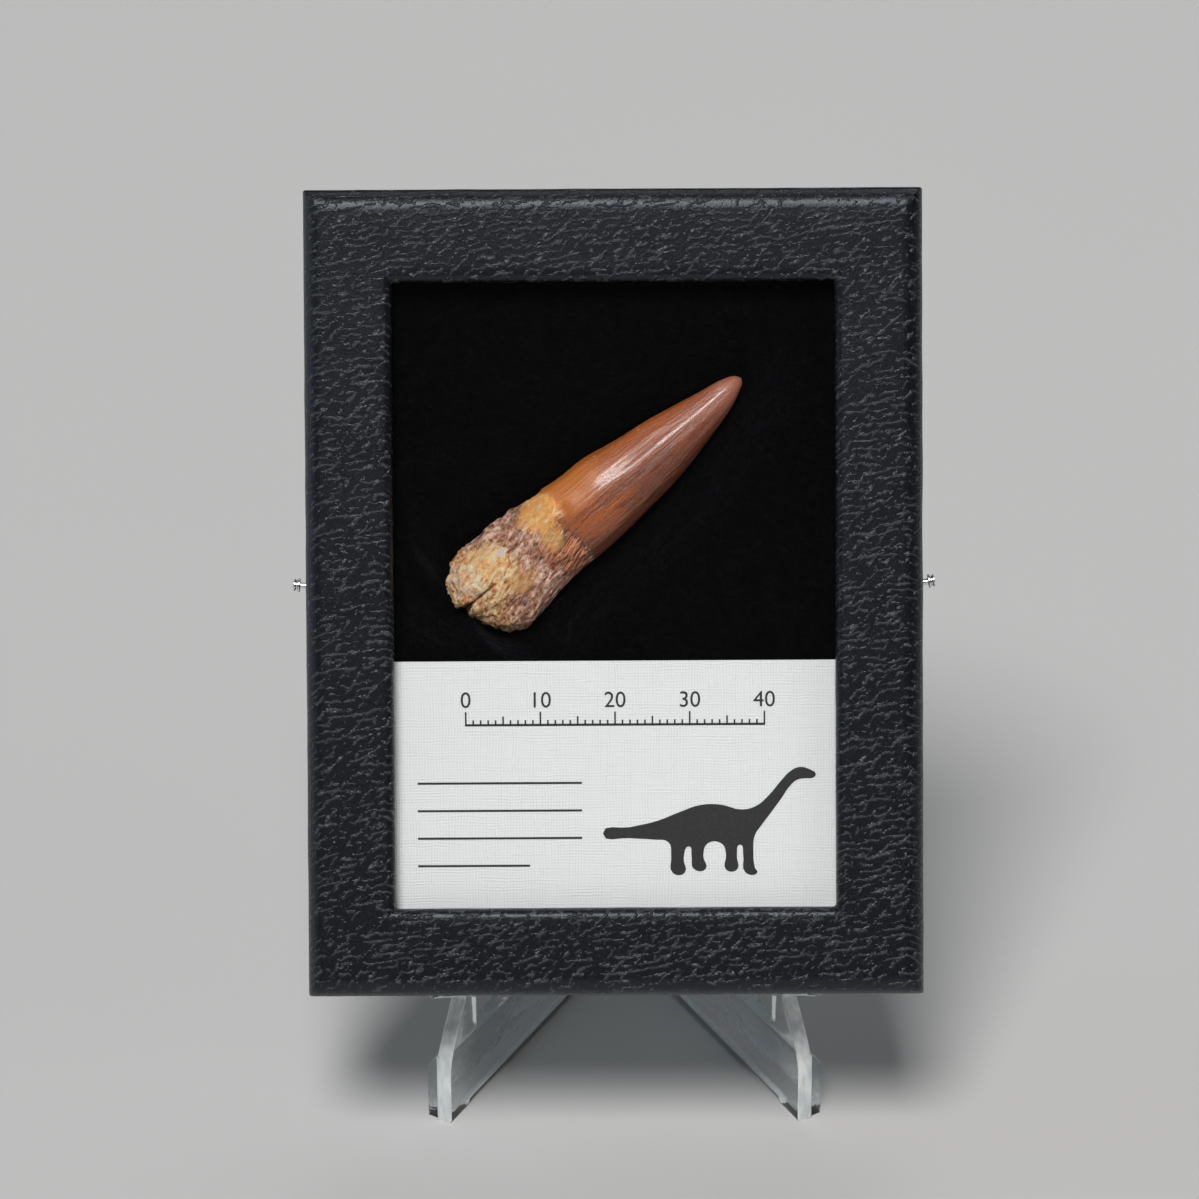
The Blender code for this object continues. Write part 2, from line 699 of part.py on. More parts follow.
def build():
    clear_scene()
    leatherette = material("black_leatherette", (0.045, 0.048, 0.055), 0.45)
    paper = material("black_paper", (0.03, 0.03, 0.032), 0.7)
    glass = material("clear_glass", (0.92, 0.95, 0.95), 0.03, alpha=0.3)
    felt = material("black_felt", (0.018, 0.018, 0.021), 0.95)
    card = material("white_card", (0.86, 0.87, 0.87), 0.75)
    enamel = material("tooth_enamel", (0.42, 0.22, 0.12), 0.3)
    steel = material("pin_steel", (0.75, 0.76, 0.78), 0.2, 1.0)
    acrylic = material("clear_plastic", (0.86, 0.9, 0.92), 0.12, alpha=0.4)

    root = empty("display_frame")
    case = empty("case_frame", root, (0.0, CASE_BACK_FROM_FOOT, CASE_BACK_HEIGHT))
    case.rotation_euler = (-CASE_LEAN, 0.0, 0.0)
    easel = empty("easel_frame", root, (EASEL_SHIFT, 0.0, 0.0))

    lid = build_lid(case, leatherette)
    half_x, half_z = CASE_WIDTH / 2, CASE_HEIGHT / 2
    glass_inset = LID_WALL + TRAY_PLAY
    build_slab(
        "glass_pane", half_x - glass_inset, half_z - glass_inset, half_z,
        GLASS_BACK_Y, GLASS_FRONT_Y, GLASS_ARRIS, case, glass,
    )
    tray = build_tray(case, paper)
    card_half = (CARD_TOP - CARD_BOTTOM) / 2
    build_slab(
        "label_card", CARD_WIDTH / 2, card_half, CARD_BOTTOM + card_half,
        CARD_BACK_Y, RIM_Y, 0.05 * MM, case, card,
    )
    pad = build_padding(case, felt)
    build_tooth(case, enamel)
    combine(pad, tooth_clearance(case), "DIFFERENCE")
    build_pin("left", -1, (lid, tray, pad), case, steel)
    build_pin("right", 1, (lid, tray, pad), case, steel)

    seat = seat_cutter(case)
    build_arm("left", -1, seat, easel, acrylic)
    build_arm("right", 1, seat, easel, acrylic)
    build_hinge_pin(easel, acrylic)
    centre_on_floor(root)


build()
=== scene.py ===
"""Looks of a fossil tooth in a small glass-topped display case on a clear two-arm easel.

Metres, in the frame of the solids: +Z up, the glass looks towards -Y. The case's pieces are
shaped upright in the case's own frame (X across, Y from its back, 0, to its face, negative,
and Z up the face) and then leaned into place with the matrix CASE.
"""

import contextlib
import math

import bmesh
import bpy
from mathutils import Matrix, Vector, noise


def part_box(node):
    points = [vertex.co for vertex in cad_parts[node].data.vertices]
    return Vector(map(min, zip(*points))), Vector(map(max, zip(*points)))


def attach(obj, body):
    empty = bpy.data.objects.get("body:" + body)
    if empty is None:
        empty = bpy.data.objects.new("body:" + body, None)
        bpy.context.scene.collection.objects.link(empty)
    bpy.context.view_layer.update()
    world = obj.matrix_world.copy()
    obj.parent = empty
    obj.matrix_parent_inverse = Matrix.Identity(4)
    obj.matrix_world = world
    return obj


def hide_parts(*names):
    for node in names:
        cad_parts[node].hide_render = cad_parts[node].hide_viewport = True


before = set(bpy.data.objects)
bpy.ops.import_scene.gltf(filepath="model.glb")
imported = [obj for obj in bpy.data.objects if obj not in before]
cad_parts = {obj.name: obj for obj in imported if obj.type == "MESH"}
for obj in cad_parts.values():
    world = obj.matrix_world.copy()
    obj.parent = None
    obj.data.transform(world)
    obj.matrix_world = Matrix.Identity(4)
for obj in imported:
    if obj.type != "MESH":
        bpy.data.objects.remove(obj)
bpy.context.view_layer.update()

MM = 0.001
# Places nearer than TOUCH are taken as one, corners nearer than WELD are merged
TOUCH = 0.01 * MM
WELD = 0.001 * MM
SHARP = math.radians(40)
SIDES = (("left", -1), ("right", 1))

# The case, as in the solids
CASE_HEIGHT = 107.95 * MM
CASE_DEPTH = 19.05 * MM
CASE_LEAN = math.radians(22)
WINDOW_WIDTH = 58.8 * MM
WINDOW_HEIGHT = 83.4 * MM
WINDOW_SILL = 12.0 * MM
LID_WALL = 1.5 * MM
CARD_FRONT_Y = -15.05 * MM
CARD_TOP = 44.9 * MM
lid_low, lid_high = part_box("case_lid")
CASE_WIDTH = lid_high.x - lid_low.x
CASE_ORIGIN = Vector((
    (lid_low.x + lid_high.x) / 2,
    lid_high.y - CASE_HEIGHT * math.sin(CASE_LEAN),
    lid_low.z,
))
CASE = Matrix.Translation(CASE_ORIGIN) @ Matrix.Rotation(-CASE_LEAN, 4, "X")

# The lid's soft outside. Its padded face falls away towards the outer edges: by how much, from
# how far in, and from how far off the back, growing over how deep a stretch
LID_CELL = 3.0 * MM
EDGE_RADIUS = 2.6 * MM
PILLOW_FALL = 0.22 * MM
PILLOW_REACH = 4.6 * MM
PILLOW_END = 14 * MM
PILLOW_DEPTH = 3 * MM

# The tooth: X runs from root to tip, -Y looks at the glass, Z points to its upper side
TOOTH_RISE = math.radians(39.5)
TOOTH_BASE = Vector((-18.8, -9.7, 52.8)) * MM
TOOTH = CASE @ Matrix.Translation(TOOTH_BASE) @ Matrix.Rotation(-TOOTH_RISE, 4, "Y")
TOOTH_FORWARD = 1.2
TOOTH_LENGTH = 46.7
CROWN_START = 16.4
# Outline for the felt's dip, in millimetres: along the axis, centre line, half width, half depth
TOOTH_OUTLINE = (
    (-2.35, 1.5, 0.0, 0.0),
    (-1.3, 0.95, 3.35, 3.1),
    (1.3, -0.1, 6.45, 4.7),
    (5.5, -0.3, 7.0, 5.05),
    (12.0, 0.1, 6.3, 4.95),
    (22.0, -0.1, 5.55, 4.6),
    (32.5, -0.1, 4.42, 3.7),
    (38.0, -0.03, 3.28, 2.8),
    (43.0, 0.1, 2.08, 1.85),
    (45.6, 0.15, 0.98, 0.95),
    (46.7, 0.1, 0.0, 0.0),
)
# Lines on the side that looks at the glass, from and to: along the axis, towards the upper side
MAIN_CRACK = (Vector((-3.0, 0.0)), Vector((4.2, 0.15)))
SIDE_CRACK = (Vector((2.4, -3.6)), Vector((9.2, -3.9)))
CHIP = (Vector((5.9, 1.9)), Vector((7.7, 3.6)))
FIBRE_LEAN = math.radians(20)

# The felt pad, in millimetres of the case's frame
PAD_FRONT = -14.9
PAD_UNDER_CARD = -14.3
PAD_BACK = -2.6
PAD_COLUMNS = 150
PAD_ROWS = 200
# The dip round the tooth, the room in it, the step down to the card, and how high the nap stands
DIP_REACH = 9.0
DIP_BEHIND_AXIS = 0.5
ROOM_BEHIND = 0.35
ROOM_BESIDE = 0.15
STEP_ABOVE_CARD = 1.5
STEP_RUN = 1.2
NAP_LIMIT = 0.1
# Unevenness of the felt: how far it goes, how many patches to the millimetre, and its seed
PAD_UNEVENNESS = ((0.10, 0.9, 3.0), (0.07, 2.1, 8.0), (0.22, 0.09, 0.0))

# The print on the card, in millimetres: scale, ruled lines and animal
INK_DEPTH = 0.04 * MM
SCALE_LEFT = -20.0
SCALE_Z = 36.2
SCALE_LENGTH = 40
SCALE_STROKE = 0.3
TICK_WIDTH = 0.22
TICK_HEIGHTS = {10: 1.9, 5: 1.3, 1: 0.8}
FIGURE_SIZE = 3.0
FIGURE_RISE = 2.5
LINE_LEFT = -26.5
LINE_LENGTHS = (22.0, 22.0, 22.0, 15.0)
LINE_TOP = 28.4
LINE_PITCH = 3.7
LINE_STROKE = 0.28
ANIMAL_PLACE = Vector((13.0, 21.4))
ANIMAL_SIZE = 1.05
ANIMAL_OUTLINE = (
    (-14.0, 0.3), (-10.5, 1.1), (-7.0, 1.9), (-4.2, 3.0), (-1.5, 3.9), (1.2, 3.9), (3.6, 3.3),
    (5.5, 3.7), (7.2, 5.1), (8.8, 7.0), (10.0, 8.2), (11.2, 8.7), (12.4, 8.4), (13.2, 7.8),
    (12.9, 7.35), (11.9, 7.25), (10.9, 7.1), (10.0, 6.4), (8.8, 4.7), (7.4, 2.8), (6.2, 1.2),
    (5.4, 0.0), (5.2, -2.0), (5.4, -4.2), (5.7, -4.8), (4.2, -4.8), (3.9, -2.6), (3.5, -1.2),
    (3.1, -2.6), (3.1, -4.4), (1.7, -4.4), (1.7, -2.4), (1.2, -1.1), (-0.6, -1.0), (-1.2, -2.6),
    (-0.9, -4.3), (-2.4, -4.3), (-2.7, -2.6), (-3.0, -1.4), (-3.7, -2.8), (-3.6, -4.8),
    (-5.1, -4.8), (-5.3, -2.6), (-5.6, -0.9), (-7.6, -0.5), (-10.6, -0.3),
)

# The pins; stations in millimetres: along the pin from the wall outwards, and its radius
PIN_Y = -9.0 * MM
PIN_Z = CASE_HEIGHT / 2 + 0.9 * MM
PIN_TILT = {"left": math.radians(4), "right": math.radians(9)}
PIN_SIDES = 40
PIN_PROFILE = (
    (-11.3, 0.05), (-9.7, 0.40), (1.15, 0.40), (1.2, 0.5), (1.2, 0.86), (1.27, 0.95), (1.38, 0.95),
    (1.46, 0.86), (1.56, 0.70), (1.74, 0.68), (1.84, 0.74), (1.92, 0.84), (2.0, 0.84), (2.1, 0.66),
)

# The easel: its arms, the place of its feet, and how far back and up its front is frosted
ARM_SPLAY = math.radians(25)
ARM_THICKNESS = 2.25 * MM
ARM_EASING = 0.06 * MM
FOOT_HALF_SPREAD = 24 * MM
EASEL_X = 1.08 * MM
EASEL_FRONT_Y = CASE_ORIGIN.y - 5.63 * MM
FROSTED_DEPTH = 6 * MM
FROSTED_TOP = 20 * MM
FLOOR_SIZE = 6.0

# The photograph's view: distance to the face, how far the camera looks down, its framing
VIEW_DISTANCE = 600 * MM
VIEW_ELEVATION = math.radians(24.5)
VIEW_ROLL = math.radians(0.3)
VIEW_WIDTH = 159.5 * MM
AIM_LEFT = 2.0 * MM
AIM_DOWN = 0.7 * MM
SENSOR_WIDTH = 36.0

# The studio's faint sky, as it lights the goods and as the camera sees it
SKY_COLOUR = (0.93, 0.95, 1.0, 1.0)
SKY_LIGHT = 0.012
SKY_SEEN = 0.55


class Value:
    """A shader socket. Python's operators on it add Math nodes."""

    def __init__(self, finish, socket):
        self.finish = finish
        self.socket = socket

    def math(self, operation, *others):
        return self.finish.node("ShaderNodeMath", {"operation": operation}, self, *others)

    def from_left(self, operation, other):
        return self.finish.node("ShaderNodeMath", {"operation": operation}, other, self)

    def __add__(self, other):
        return self.math("ADD", other)

    def __radd__(self, other):
        return self.from_left("ADD", other)

    def __sub__(self, other):
        return self.math("SUBTRACT", other)

    def __rsub__(self, other):
        return self.from_left("SUBTRACT", other)

    def __mul__(self, other):
        return self.math("MULTIPLY", other)

    def __rmul__(self, other):
        return self.from_left("MULTIPLY", other)

    def __truediv__(self, other):
        return self.math("DIVIDE", other)

    def __pow__(self, other):
        return self.math("POWER", other)

    def __abs__(self):
        return self.math("ABSOLUTE")

    def clamp(self):
        return self.math("MINIMUM", 1.0).math("MAXIMUM", 0.0)

    def wave(self):
        """A sine between 0 and 1."""
        return self.math("SINE") * 0.5 + 0.5

    def step(self, low, high):
        """0 below low, 1 above high and smooth between."""
        settings = {"interpolation_type": "SMOOTHSTEP"}
        return self.finish.node("ShaderNodeMapRange", settings, self, low, high, 0.0, 1.0)


class Finish:
    """A node material, made one node at a time."""

    def __init__(self, name, roughness=0.5, metallic=0.0, **constants):
        self.made = bpy.data.materials.new(name)
        self.made.use_nodes = True
        self.tree = self.made.node_tree
        self.shader = self.tree.nodes["Principled BSDF"]
        self.set(roughness=roughness, metallic=metallic, **constants)

    def feed(self, socket, value):
        if isinstance(value, Value):
            self.tree.links.new(value.socket, socket)
        elif socket.type == "RGBA":
            socket.default_value = (*value[:3], 1.0)
        else:
            socket.default_value = value

    def set(self, **values):
        """Feeds the Principled shader's sockets, named in small letters."""
        for name, value in values.items():
            label = name.replace("_", " ").title().replace("Ior", "IOR")
            self.feed(self.shader.inputs[label], value)

    def node(self, kind, settings, *values, output=0):
        """Any node: its type, its settings and the values or links of its sockets in order."""
        node = self.tree.nodes.new(kind)
        for name, value in settings.items():
            if name == "stops":
                self.set_stops(node.color_ramp, value)
            else:
                setattr(node, name, value)
        for index, value in enumerate(values):
            if value is not None:
                self.feed(node.inputs[index], value)
        return Value(self, node.outputs[output])

    def set_stops(self, ramp, stops):
        while len(ramp.elements) < len(stops):
            ramp.elements.new(0.5)
        for element, (place, colour) in zip(ramp.elements, stops):
            element.position = place
            element.color = (*colour, 1.0)

    def place(self, matrix):
        """Object coordinates in millimetres of the frame that the matrix gives."""
        settings = {"vector_type": "TEXTURE"}
        here = self.node("ShaderNodeTexCoord", {}, output="Object")
        place, turn, size = matrix.translation, matrix.to_euler(), (MM, MM, MM)
        return self.node("ShaderNodeMapping", settings, here, place, turn, size)

    def turn(self, place, degrees):
        """The same place, turned in the plane of the face."""
        turn = (0.0, math.radians(degrees), 0.0)
        return self.node("ShaderNodeMapping", {}, place, None, turn)

    def axes(self, place):
        """X, Y and Z of a place as three values."""
        first = self.node("ShaderNodeSeparateXYZ", {}, place)
        outputs = first.socket.node.outputs
        return [Value(self, socket) for socket in outputs]

    def stretch(self, place, amounts):
        return self.node("ShaderNodeVectorMath", {"operation": "MULTIPLY"}, place, amounts)

    def shift(self, place, amount):
        return self.node("ShaderNodeVectorMath", {"operation": "ADD"}, place, amount)

    def noise(self, place, scale, detail=3.0, rough=0.5, distortion=0.0):
        values = (place, None, scale, detail, rough, None, None, None, distortion)
        return self.node("ShaderNodeTexNoise", {}, *values)

    def grain(self, place, specks, *more):
        """Noise with its own number of specks to the millimetre along each axis."""
        return self.noise(self.stretch(place, specks), 1.0, *more)

    def cells(self, place, scale):
        return self.node("ShaderNodeTexVoronoi", {}, place, None, scale)

    def mix(self, share, first, second):
        """Two colours mixed."""
        values = (share, None, None, None, None, None, first, second)
        return self.node("ShaderNodeMix", {"data_type": "RGBA"}, *values, output=2)

    def ramp(self, value, *stops):
        return self.node("ShaderNodeValToRGB", {"stops": stops}, value)

    def bump(self, height, depth, under=None):
        """Bump of a height from 0 to 1 that stands for a depth in metres."""
        node = self.node("ShaderNodeBump", {}, 1.0, depth)
        self.feed(node.socket.node.inputs["Height"], height)
        if under:
            self.feed(node.socket.node.inputs["Normal"], under)
        return node

    def let_lamps_through(self, tint):
        """Clear goods: light from lamps and from lit surfaces passes straight through."""
        lamp = self.node("ShaderNodeLightPath", {}, output="Is Shadow Ray")
        bounced = self.node("ShaderNodeLightPath", {}, output="Is Reflection Ray")
        clear = self.node("ShaderNodeBsdfTransparent", {}, tint)
        body = Value(self, self.shader.outputs[0])
        both = self.node("ShaderNodeMixShader", {}, lamp.math("MAXIMUM", bounced), body, clear)
        self.feed(self.tree.nodes["Material Output"].inputs["Surface"], both)


def deselect():
    bpy.ops.object.select_all(action="DESELECT")


def take(piece):
    """Makes the piece the only selected one, and the active one."""
    deselect()
    piece.select_set(True)
    bpy.context.view_layer.objects.active = piece


@contextlib.contextmanager
def editing(piece):
    take(piece)
    bpy.ops.object.mode_set(mode="EDIT")
    yield
    bpy.ops.object.mode_set(mode="OBJECT")


def pick(piece, kind, test):
    """In edit mode, selects the faces, edges or corners that pass a test, and nothing else."""
    bpy.ops.mesh.select_mode(type=kind)
    bpy.ops.mesh.select_all(action="DESELECT")
    shape = bmesh.from_edit_mesh(piece.data)
    for part in {"FACE": shape.faces, "EDGE": shape.edges, "VERT": shape.verts}[kind]:
        if test(part):
            part.select_set(True)
    shape.select_flush_mode()
    bmesh.update_edit_mesh(piece.data)


def name_active(name):
    piece = bpy.context.active_object
    piece.name = name
    piece.data.name = name
    return piece


def add_block(name, centre, size):
    deselect()
    bpy.ops.mesh.primitive_cube_add(size=1, location=centre, scale=size)
    bpy.ops.object.transform_apply(location=True, rotation=True, scale=True)
    return name_active(name)


def modify(piece, kind, **settings):
    modifier = piece.modifiers.new(kind.title(), kind)
    for name, value in settings.items():
        setattr(modifier, name, value)


def apply_modifiers(piece):
    take(piece)
    for modifier in list(piece.modifiers):
        bpy.ops.object.modifier_apply(modifier=modifier.name)


def settle(piece, matrix):
    """Moves a finished piece into the object's frame, with its place in its mesh."""
    piece.matrix_world = matrix @ piece.matrix_world
    take(piece)
    bpy.ops.object.transform_apply(location=True, rotation=True, scale=True)


def displace(piece, relief):
    """Moves each corner along its normal by a relief, both in millimetres."""
    moves = [corner.normal * relief(corner.co / MM) * MM for corner in piece.data.vertices]
    for corner, move in zip(piece.data.vertices, moves):
        corner.co += move


def hand_over(piece, finish, slot, *nodes, smooth=SHARP):
    """Gives a piece its finish, its body and the node that it stands for; its slot is not used."""
    piece.data.materials.clear()
    piece.data.materials.append(finish)
    take(piece)
    bpy.ops.object.shade_smooth_by_angle(angle=smooth)
    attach(piece, "root")
    if nodes:
        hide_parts(*nodes)


def dress(node, finish):
    """Gives a carried-over solid its finish."""
    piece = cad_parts[node]
    piece.data.materials.clear()
    piece.data.materials.append(finish)


def copy_of_node(name, node):
    """A copy of a solid's mesh with its loose triangles merged."""
    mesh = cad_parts[node].data.copy()
    piece = bpy.data.objects.new(name, mesh)
    bpy.context.scene.collection.objects.link(piece)
    with editing(piece):
        bpy.ops.mesh.select_all(action="SELECT")
        bpy.ops.mesh.remove_doubles(threshold=WELD)
        bpy.ops.mesh.customdata_custom_splitnormals_clear()
    return piece


def smooth_step(value):
    value = min(1.0, max(0.0, value))
    return value * value * (3 - 2 * value)


def bell(value, width):
    """1 at nought, falling away to nothing on both sides."""
    return math.exp(-((value / width) ** 2))


def near_line(point, line):
    """Distance from a point to a line piece, and how far along it the nearest place is."""
    start, end = line
    run = end - start
    share = min(1.0, max(0.0, (point - start).dot(run) / run.length_squared))
    return (point - start - run * share).length, share


def leatherette():
    """Black book cloth with a morocco grain: broken wavy creases, lit on their upper flanks, with
    a painted highlight along their crests.
    """
    finish = Finish("black_leatherette", specular_ior_level=0.42, specular_tint=(0.80, 0.88, 1.0))
    place = finish.place(CASE)
    level, slanting = finish.turn(place, 7), finish.turn(place, 47)
    sway = finish.grain(place, (0.16, 0.16, 0.16), 2.0)
    quiver = finish.grain(place, (0.9, 0.9, 0.9), 2.0)
    height = finish.axes(level)[2] + finish.axes(place)[1] * 0.8
    creases = (height * 6.2 + sway * 14.0 + quiver * 8.0).wave() ** 7.0
    creased = finish.grain(level, (0.62, 0.5, 1.1), 2.0).step(0.46, 0.6)
    nicks = (finish.axes(slanting)[2] * 4.4 + sway * 9.0 + quiver * 5.0).wave() ** 8.0
    nicked = finish.grain(slanting, (1.1, 0.5, 1.5), 2.0).step(0.5, 0.62)
    ridge = (creases * creased + nicks * nicked * 0.7).clamp()
    fine = finish.grain(place, (4.4, 3.0, 2.4), 4.0, 0.7)
    soft = finish.grain(place, (0.06, 0.06, 0.06), 2.0)
    colour = finish.mix(soft, (0.0015, 0.0017, 0.0024), (0.0038, 0.0043, 0.0058))
    colour = finish.mix(fine.step(0.47, 0.64) * 0.7, colour, (0.013, 0.014, 0.018))
    # Painted highlight: the crests of the creases are painted lighter, so that they read as bright
    # strokes.
    colour = finish.mix(ridge * 0.8, colour, (0.057, 0.060, 0.068))
    finish.set(base_color=colour, roughness=0.25 + 0.14 * fine)
    finish.set(normal=finish.bump(ridge + fine * 0.30, 0.17 * MM))
    return finish.made


def board_paper():
    """Matte black paper over board, with a faint fibre."""
    finish = Finish("black_paper")
    place = finish.place(CASE)
    fibre = finish.noise(finish.stretch(place, (0.6, 1.0, 2.5)), 2.0, 4.0, 0.6)
    scuff = finish.grain(place, (0.05, 0.05, 0.05), 3.0).step(0.5, 0.75)
    colour = finish.mix(scuff * 0.6, (0.017, 0.017, 0.019), (0.042, 0.042, 0.045))
    flecks = finish.noise(finish.stretch(place, (0.5, 1.0, 1.8)), 3.0, 2.0).step(0.6, 0.72)
    colour = finish.mix(flecks * 0.5, colour, (0.055, 0.054, 0.055))
    finish.set(base_color=colour, roughness=0.55 + 0.25 * fibre)
    finish.set(normal=finish.bump(fibre, 0.06 * MM))
    return finish.made


def clear_glass():
    """A thin pane with a trace of green and a little dust."""
    finish = Finish("clear_glass", 0.0, transmission_weight=1.0, ior=1.5)
    place = finish.place(CASE)
    dust = finish.noise(place, 0.9, 4.0, 0.7).step(0.62, 0.8)
    finish.set(base_color=finish.mix(dust, (0.985, 0.995, 0.99), (0.95, 0.955, 0.955)))
    finish.set(roughness=dust * 0.02)
    finish.let_lamps_through((0.975, 0.98, 0.98))
    return finish.made


def felt():
    """Brushed black felt: a short nap of crossing fibres and a few specks of lint."""
    finish = Finish("black_felt", sheen_weight=0.03, sheen_roughness=0.5,
                    sheen_tint=(0.7, 0.75, 0.9), specular_ior_level=0.04)
    place = finish.place(CASE)
    bent = finish.noise(place, 0.35, 2.0)
    drift = finish.node("ShaderNodeCombineXYZ", {}, bent * 3.0, bent, bent * -2.4)
    swirl = finish.shift(place, drift)
    across = finish.grain(swirl, (0.9, 1.0, 3.6), 4.0, 0.65, 0.4)
    along = finish.grain(swirl, (3.4, 1.0, 1.0), 4.0, 0.65, 0.4)
    fibre = across.math("MAXIMUM", along)
    clumps = finish.noise(place, 0.55, 3.0).step(0.35, 0.7)
    shade = (fibre.step(0.48, 0.78) * (0.4 + 0.6 * clumps)).clamp()
    colour = finish.mix(shade, (0.0003, 0.0003, 0.0004), (0.0050, 0.0051, 0.0064))
    lint = 1 - finish.cells(place, 0.11).step(0.012, 0.02)
    colour = finish.mix(lint * 0.6, colour, (0.12, 0.12, 0.125))
    finish.set(base_color=colour, roughness=0.85 + 0.1 * fibre)
    finish.set(normal=finish.bump(fibre + clumps * 0.5, 0.3 * MM))
    return finish.made


def linen_card():
    """White card pressed with a fine linen weave."""
    finish = Finish("linen_card", 0.7, specular_ior_level=0.3)
    place = finish.place(CASE)
    x, _, z = finish.axes(place)
    wander = finish.grain(place, (0.3, 0.3, 0.3), 2.0)
    uneven_down = finish.grain(place, (1.4, 1.0, 0.10), 3.0).step(0.3, 0.7)
    uneven_across = finish.grain(place, (0.10, 1.0, 1.4), 3.0).step(0.3, 0.7)
    down = ((x + wander * 0.6) * 16.0).math("SINE") * uneven_down
    across = ((z + wander * 0.6) * 16.0).math("SINE") * uneven_across
    weave = (down + across) * 0.5
    colour = finish.mix((weave + 0.5).clamp(), (0.705, 0.72, 0.735), (0.835, 0.845, 0.86))
    finish.set(base_color=colour, normal=finish.bump(weave, 0.035 * MM))
    return finish.made


def print_ink():
    """Dark grey toner, a little uneven over the weave."""
    finish = Finish("print_ink", 0.55)
    speckle = finish.noise(finish.place(CASE), 5.0, 4.0, 0.7)
    colour = finish.mix(speckle.step(0.4, 0.75), (0.012, 0.0115, 0.012), (0.034, 0.032, 0.032))
    finish.set(base_color=colour, roughness=0.45 + 0.2 * speckle)
    return finish.made


def pin_steel():
    """Bright drawn wire with faint turning marks."""
    finish = Finish("pin_steel", 0.2, 1.0)
    place = finish.place(CASE)
    marks = finish.grain(place, (9.0, 1.0, 1.0), 3.0)
    finish.set(base_color=finish.mix(marks, (0.62, 0.63, 0.65), (0.82, 0.82, 0.83)))
    finish.set(roughness=0.14 + 0.2 * marks, normal=finish.bump(marks, 0.01 * MM))
    return finish.made


def clear_plastic():
    """Moulded clear plastic with faint flow marks."""
    finish = Finish("clear_plastic", 0.06, transmission_weight=1.0, ior=1.49)
    place = finish.place(Matrix.Identity(4))
    flow = finish.grain(place, (0.15, 0.15, 0.5), 3.0, 0.5, 0.8)
    scratch = finish.grain(place, (0.5, 0.5, 9.0), 2.0).step(0.62, 0.7)
    finish.set(base_color=finish.mix(flow, (0.93, 0.96, 0.97), (0.97, 0.985, 0.99)))
    finish.set(roughness=0.03 + 0.05 * flow + 0.08 * scratch)
    finish.set(normal=finish.bump(flow, 0.12 * MM))
    finish.let_lamps_through((0.90, 0.92, 0.92))
    return finish.made


def frosted_plastic():
    """The sawn and rubbed front edges of the easel, milky against the light."""
    finish = Finish("frosted_plastic", 0.55)
    place = finish.place(Matrix.Identity(4))
    grain = finish.noise(place, 3.5, 4.0, 0.7)
    streak = finish.grain(place, (1.2, 1.2, 0.35), 3.0)
    colour = finish.mix(streak.step(0.3, 0.7), (0.52, 0.56, 0.57), (0.72, 0.75, 0.75))
    finish.set(base_color=colour, roughness=0.4 + 0.3 * grain)
    finish.set(normal=finish.bump(grain, 0.05 * MM))
    return finish.made


def blob(along, up, centre, size, soft=0.5):
    """A mask of 1 inside an ellipse on the tooth that fades out at its rim."""
    first = (along - centre[0]) / size[0]
    second = (up - centre[1]) / size[1]
    return 1 - (first * first + second * second).step(1 - soft, 1 + soft)


def stain(finish, mask, base, grain, dark, light):
    """A stained patch over a base colour whose tone follows the relief as painted shade: dark in
    its pits, light on its high grain.
    """
    return finish.mix(mask, base, finish.mix(grain, dark, light))


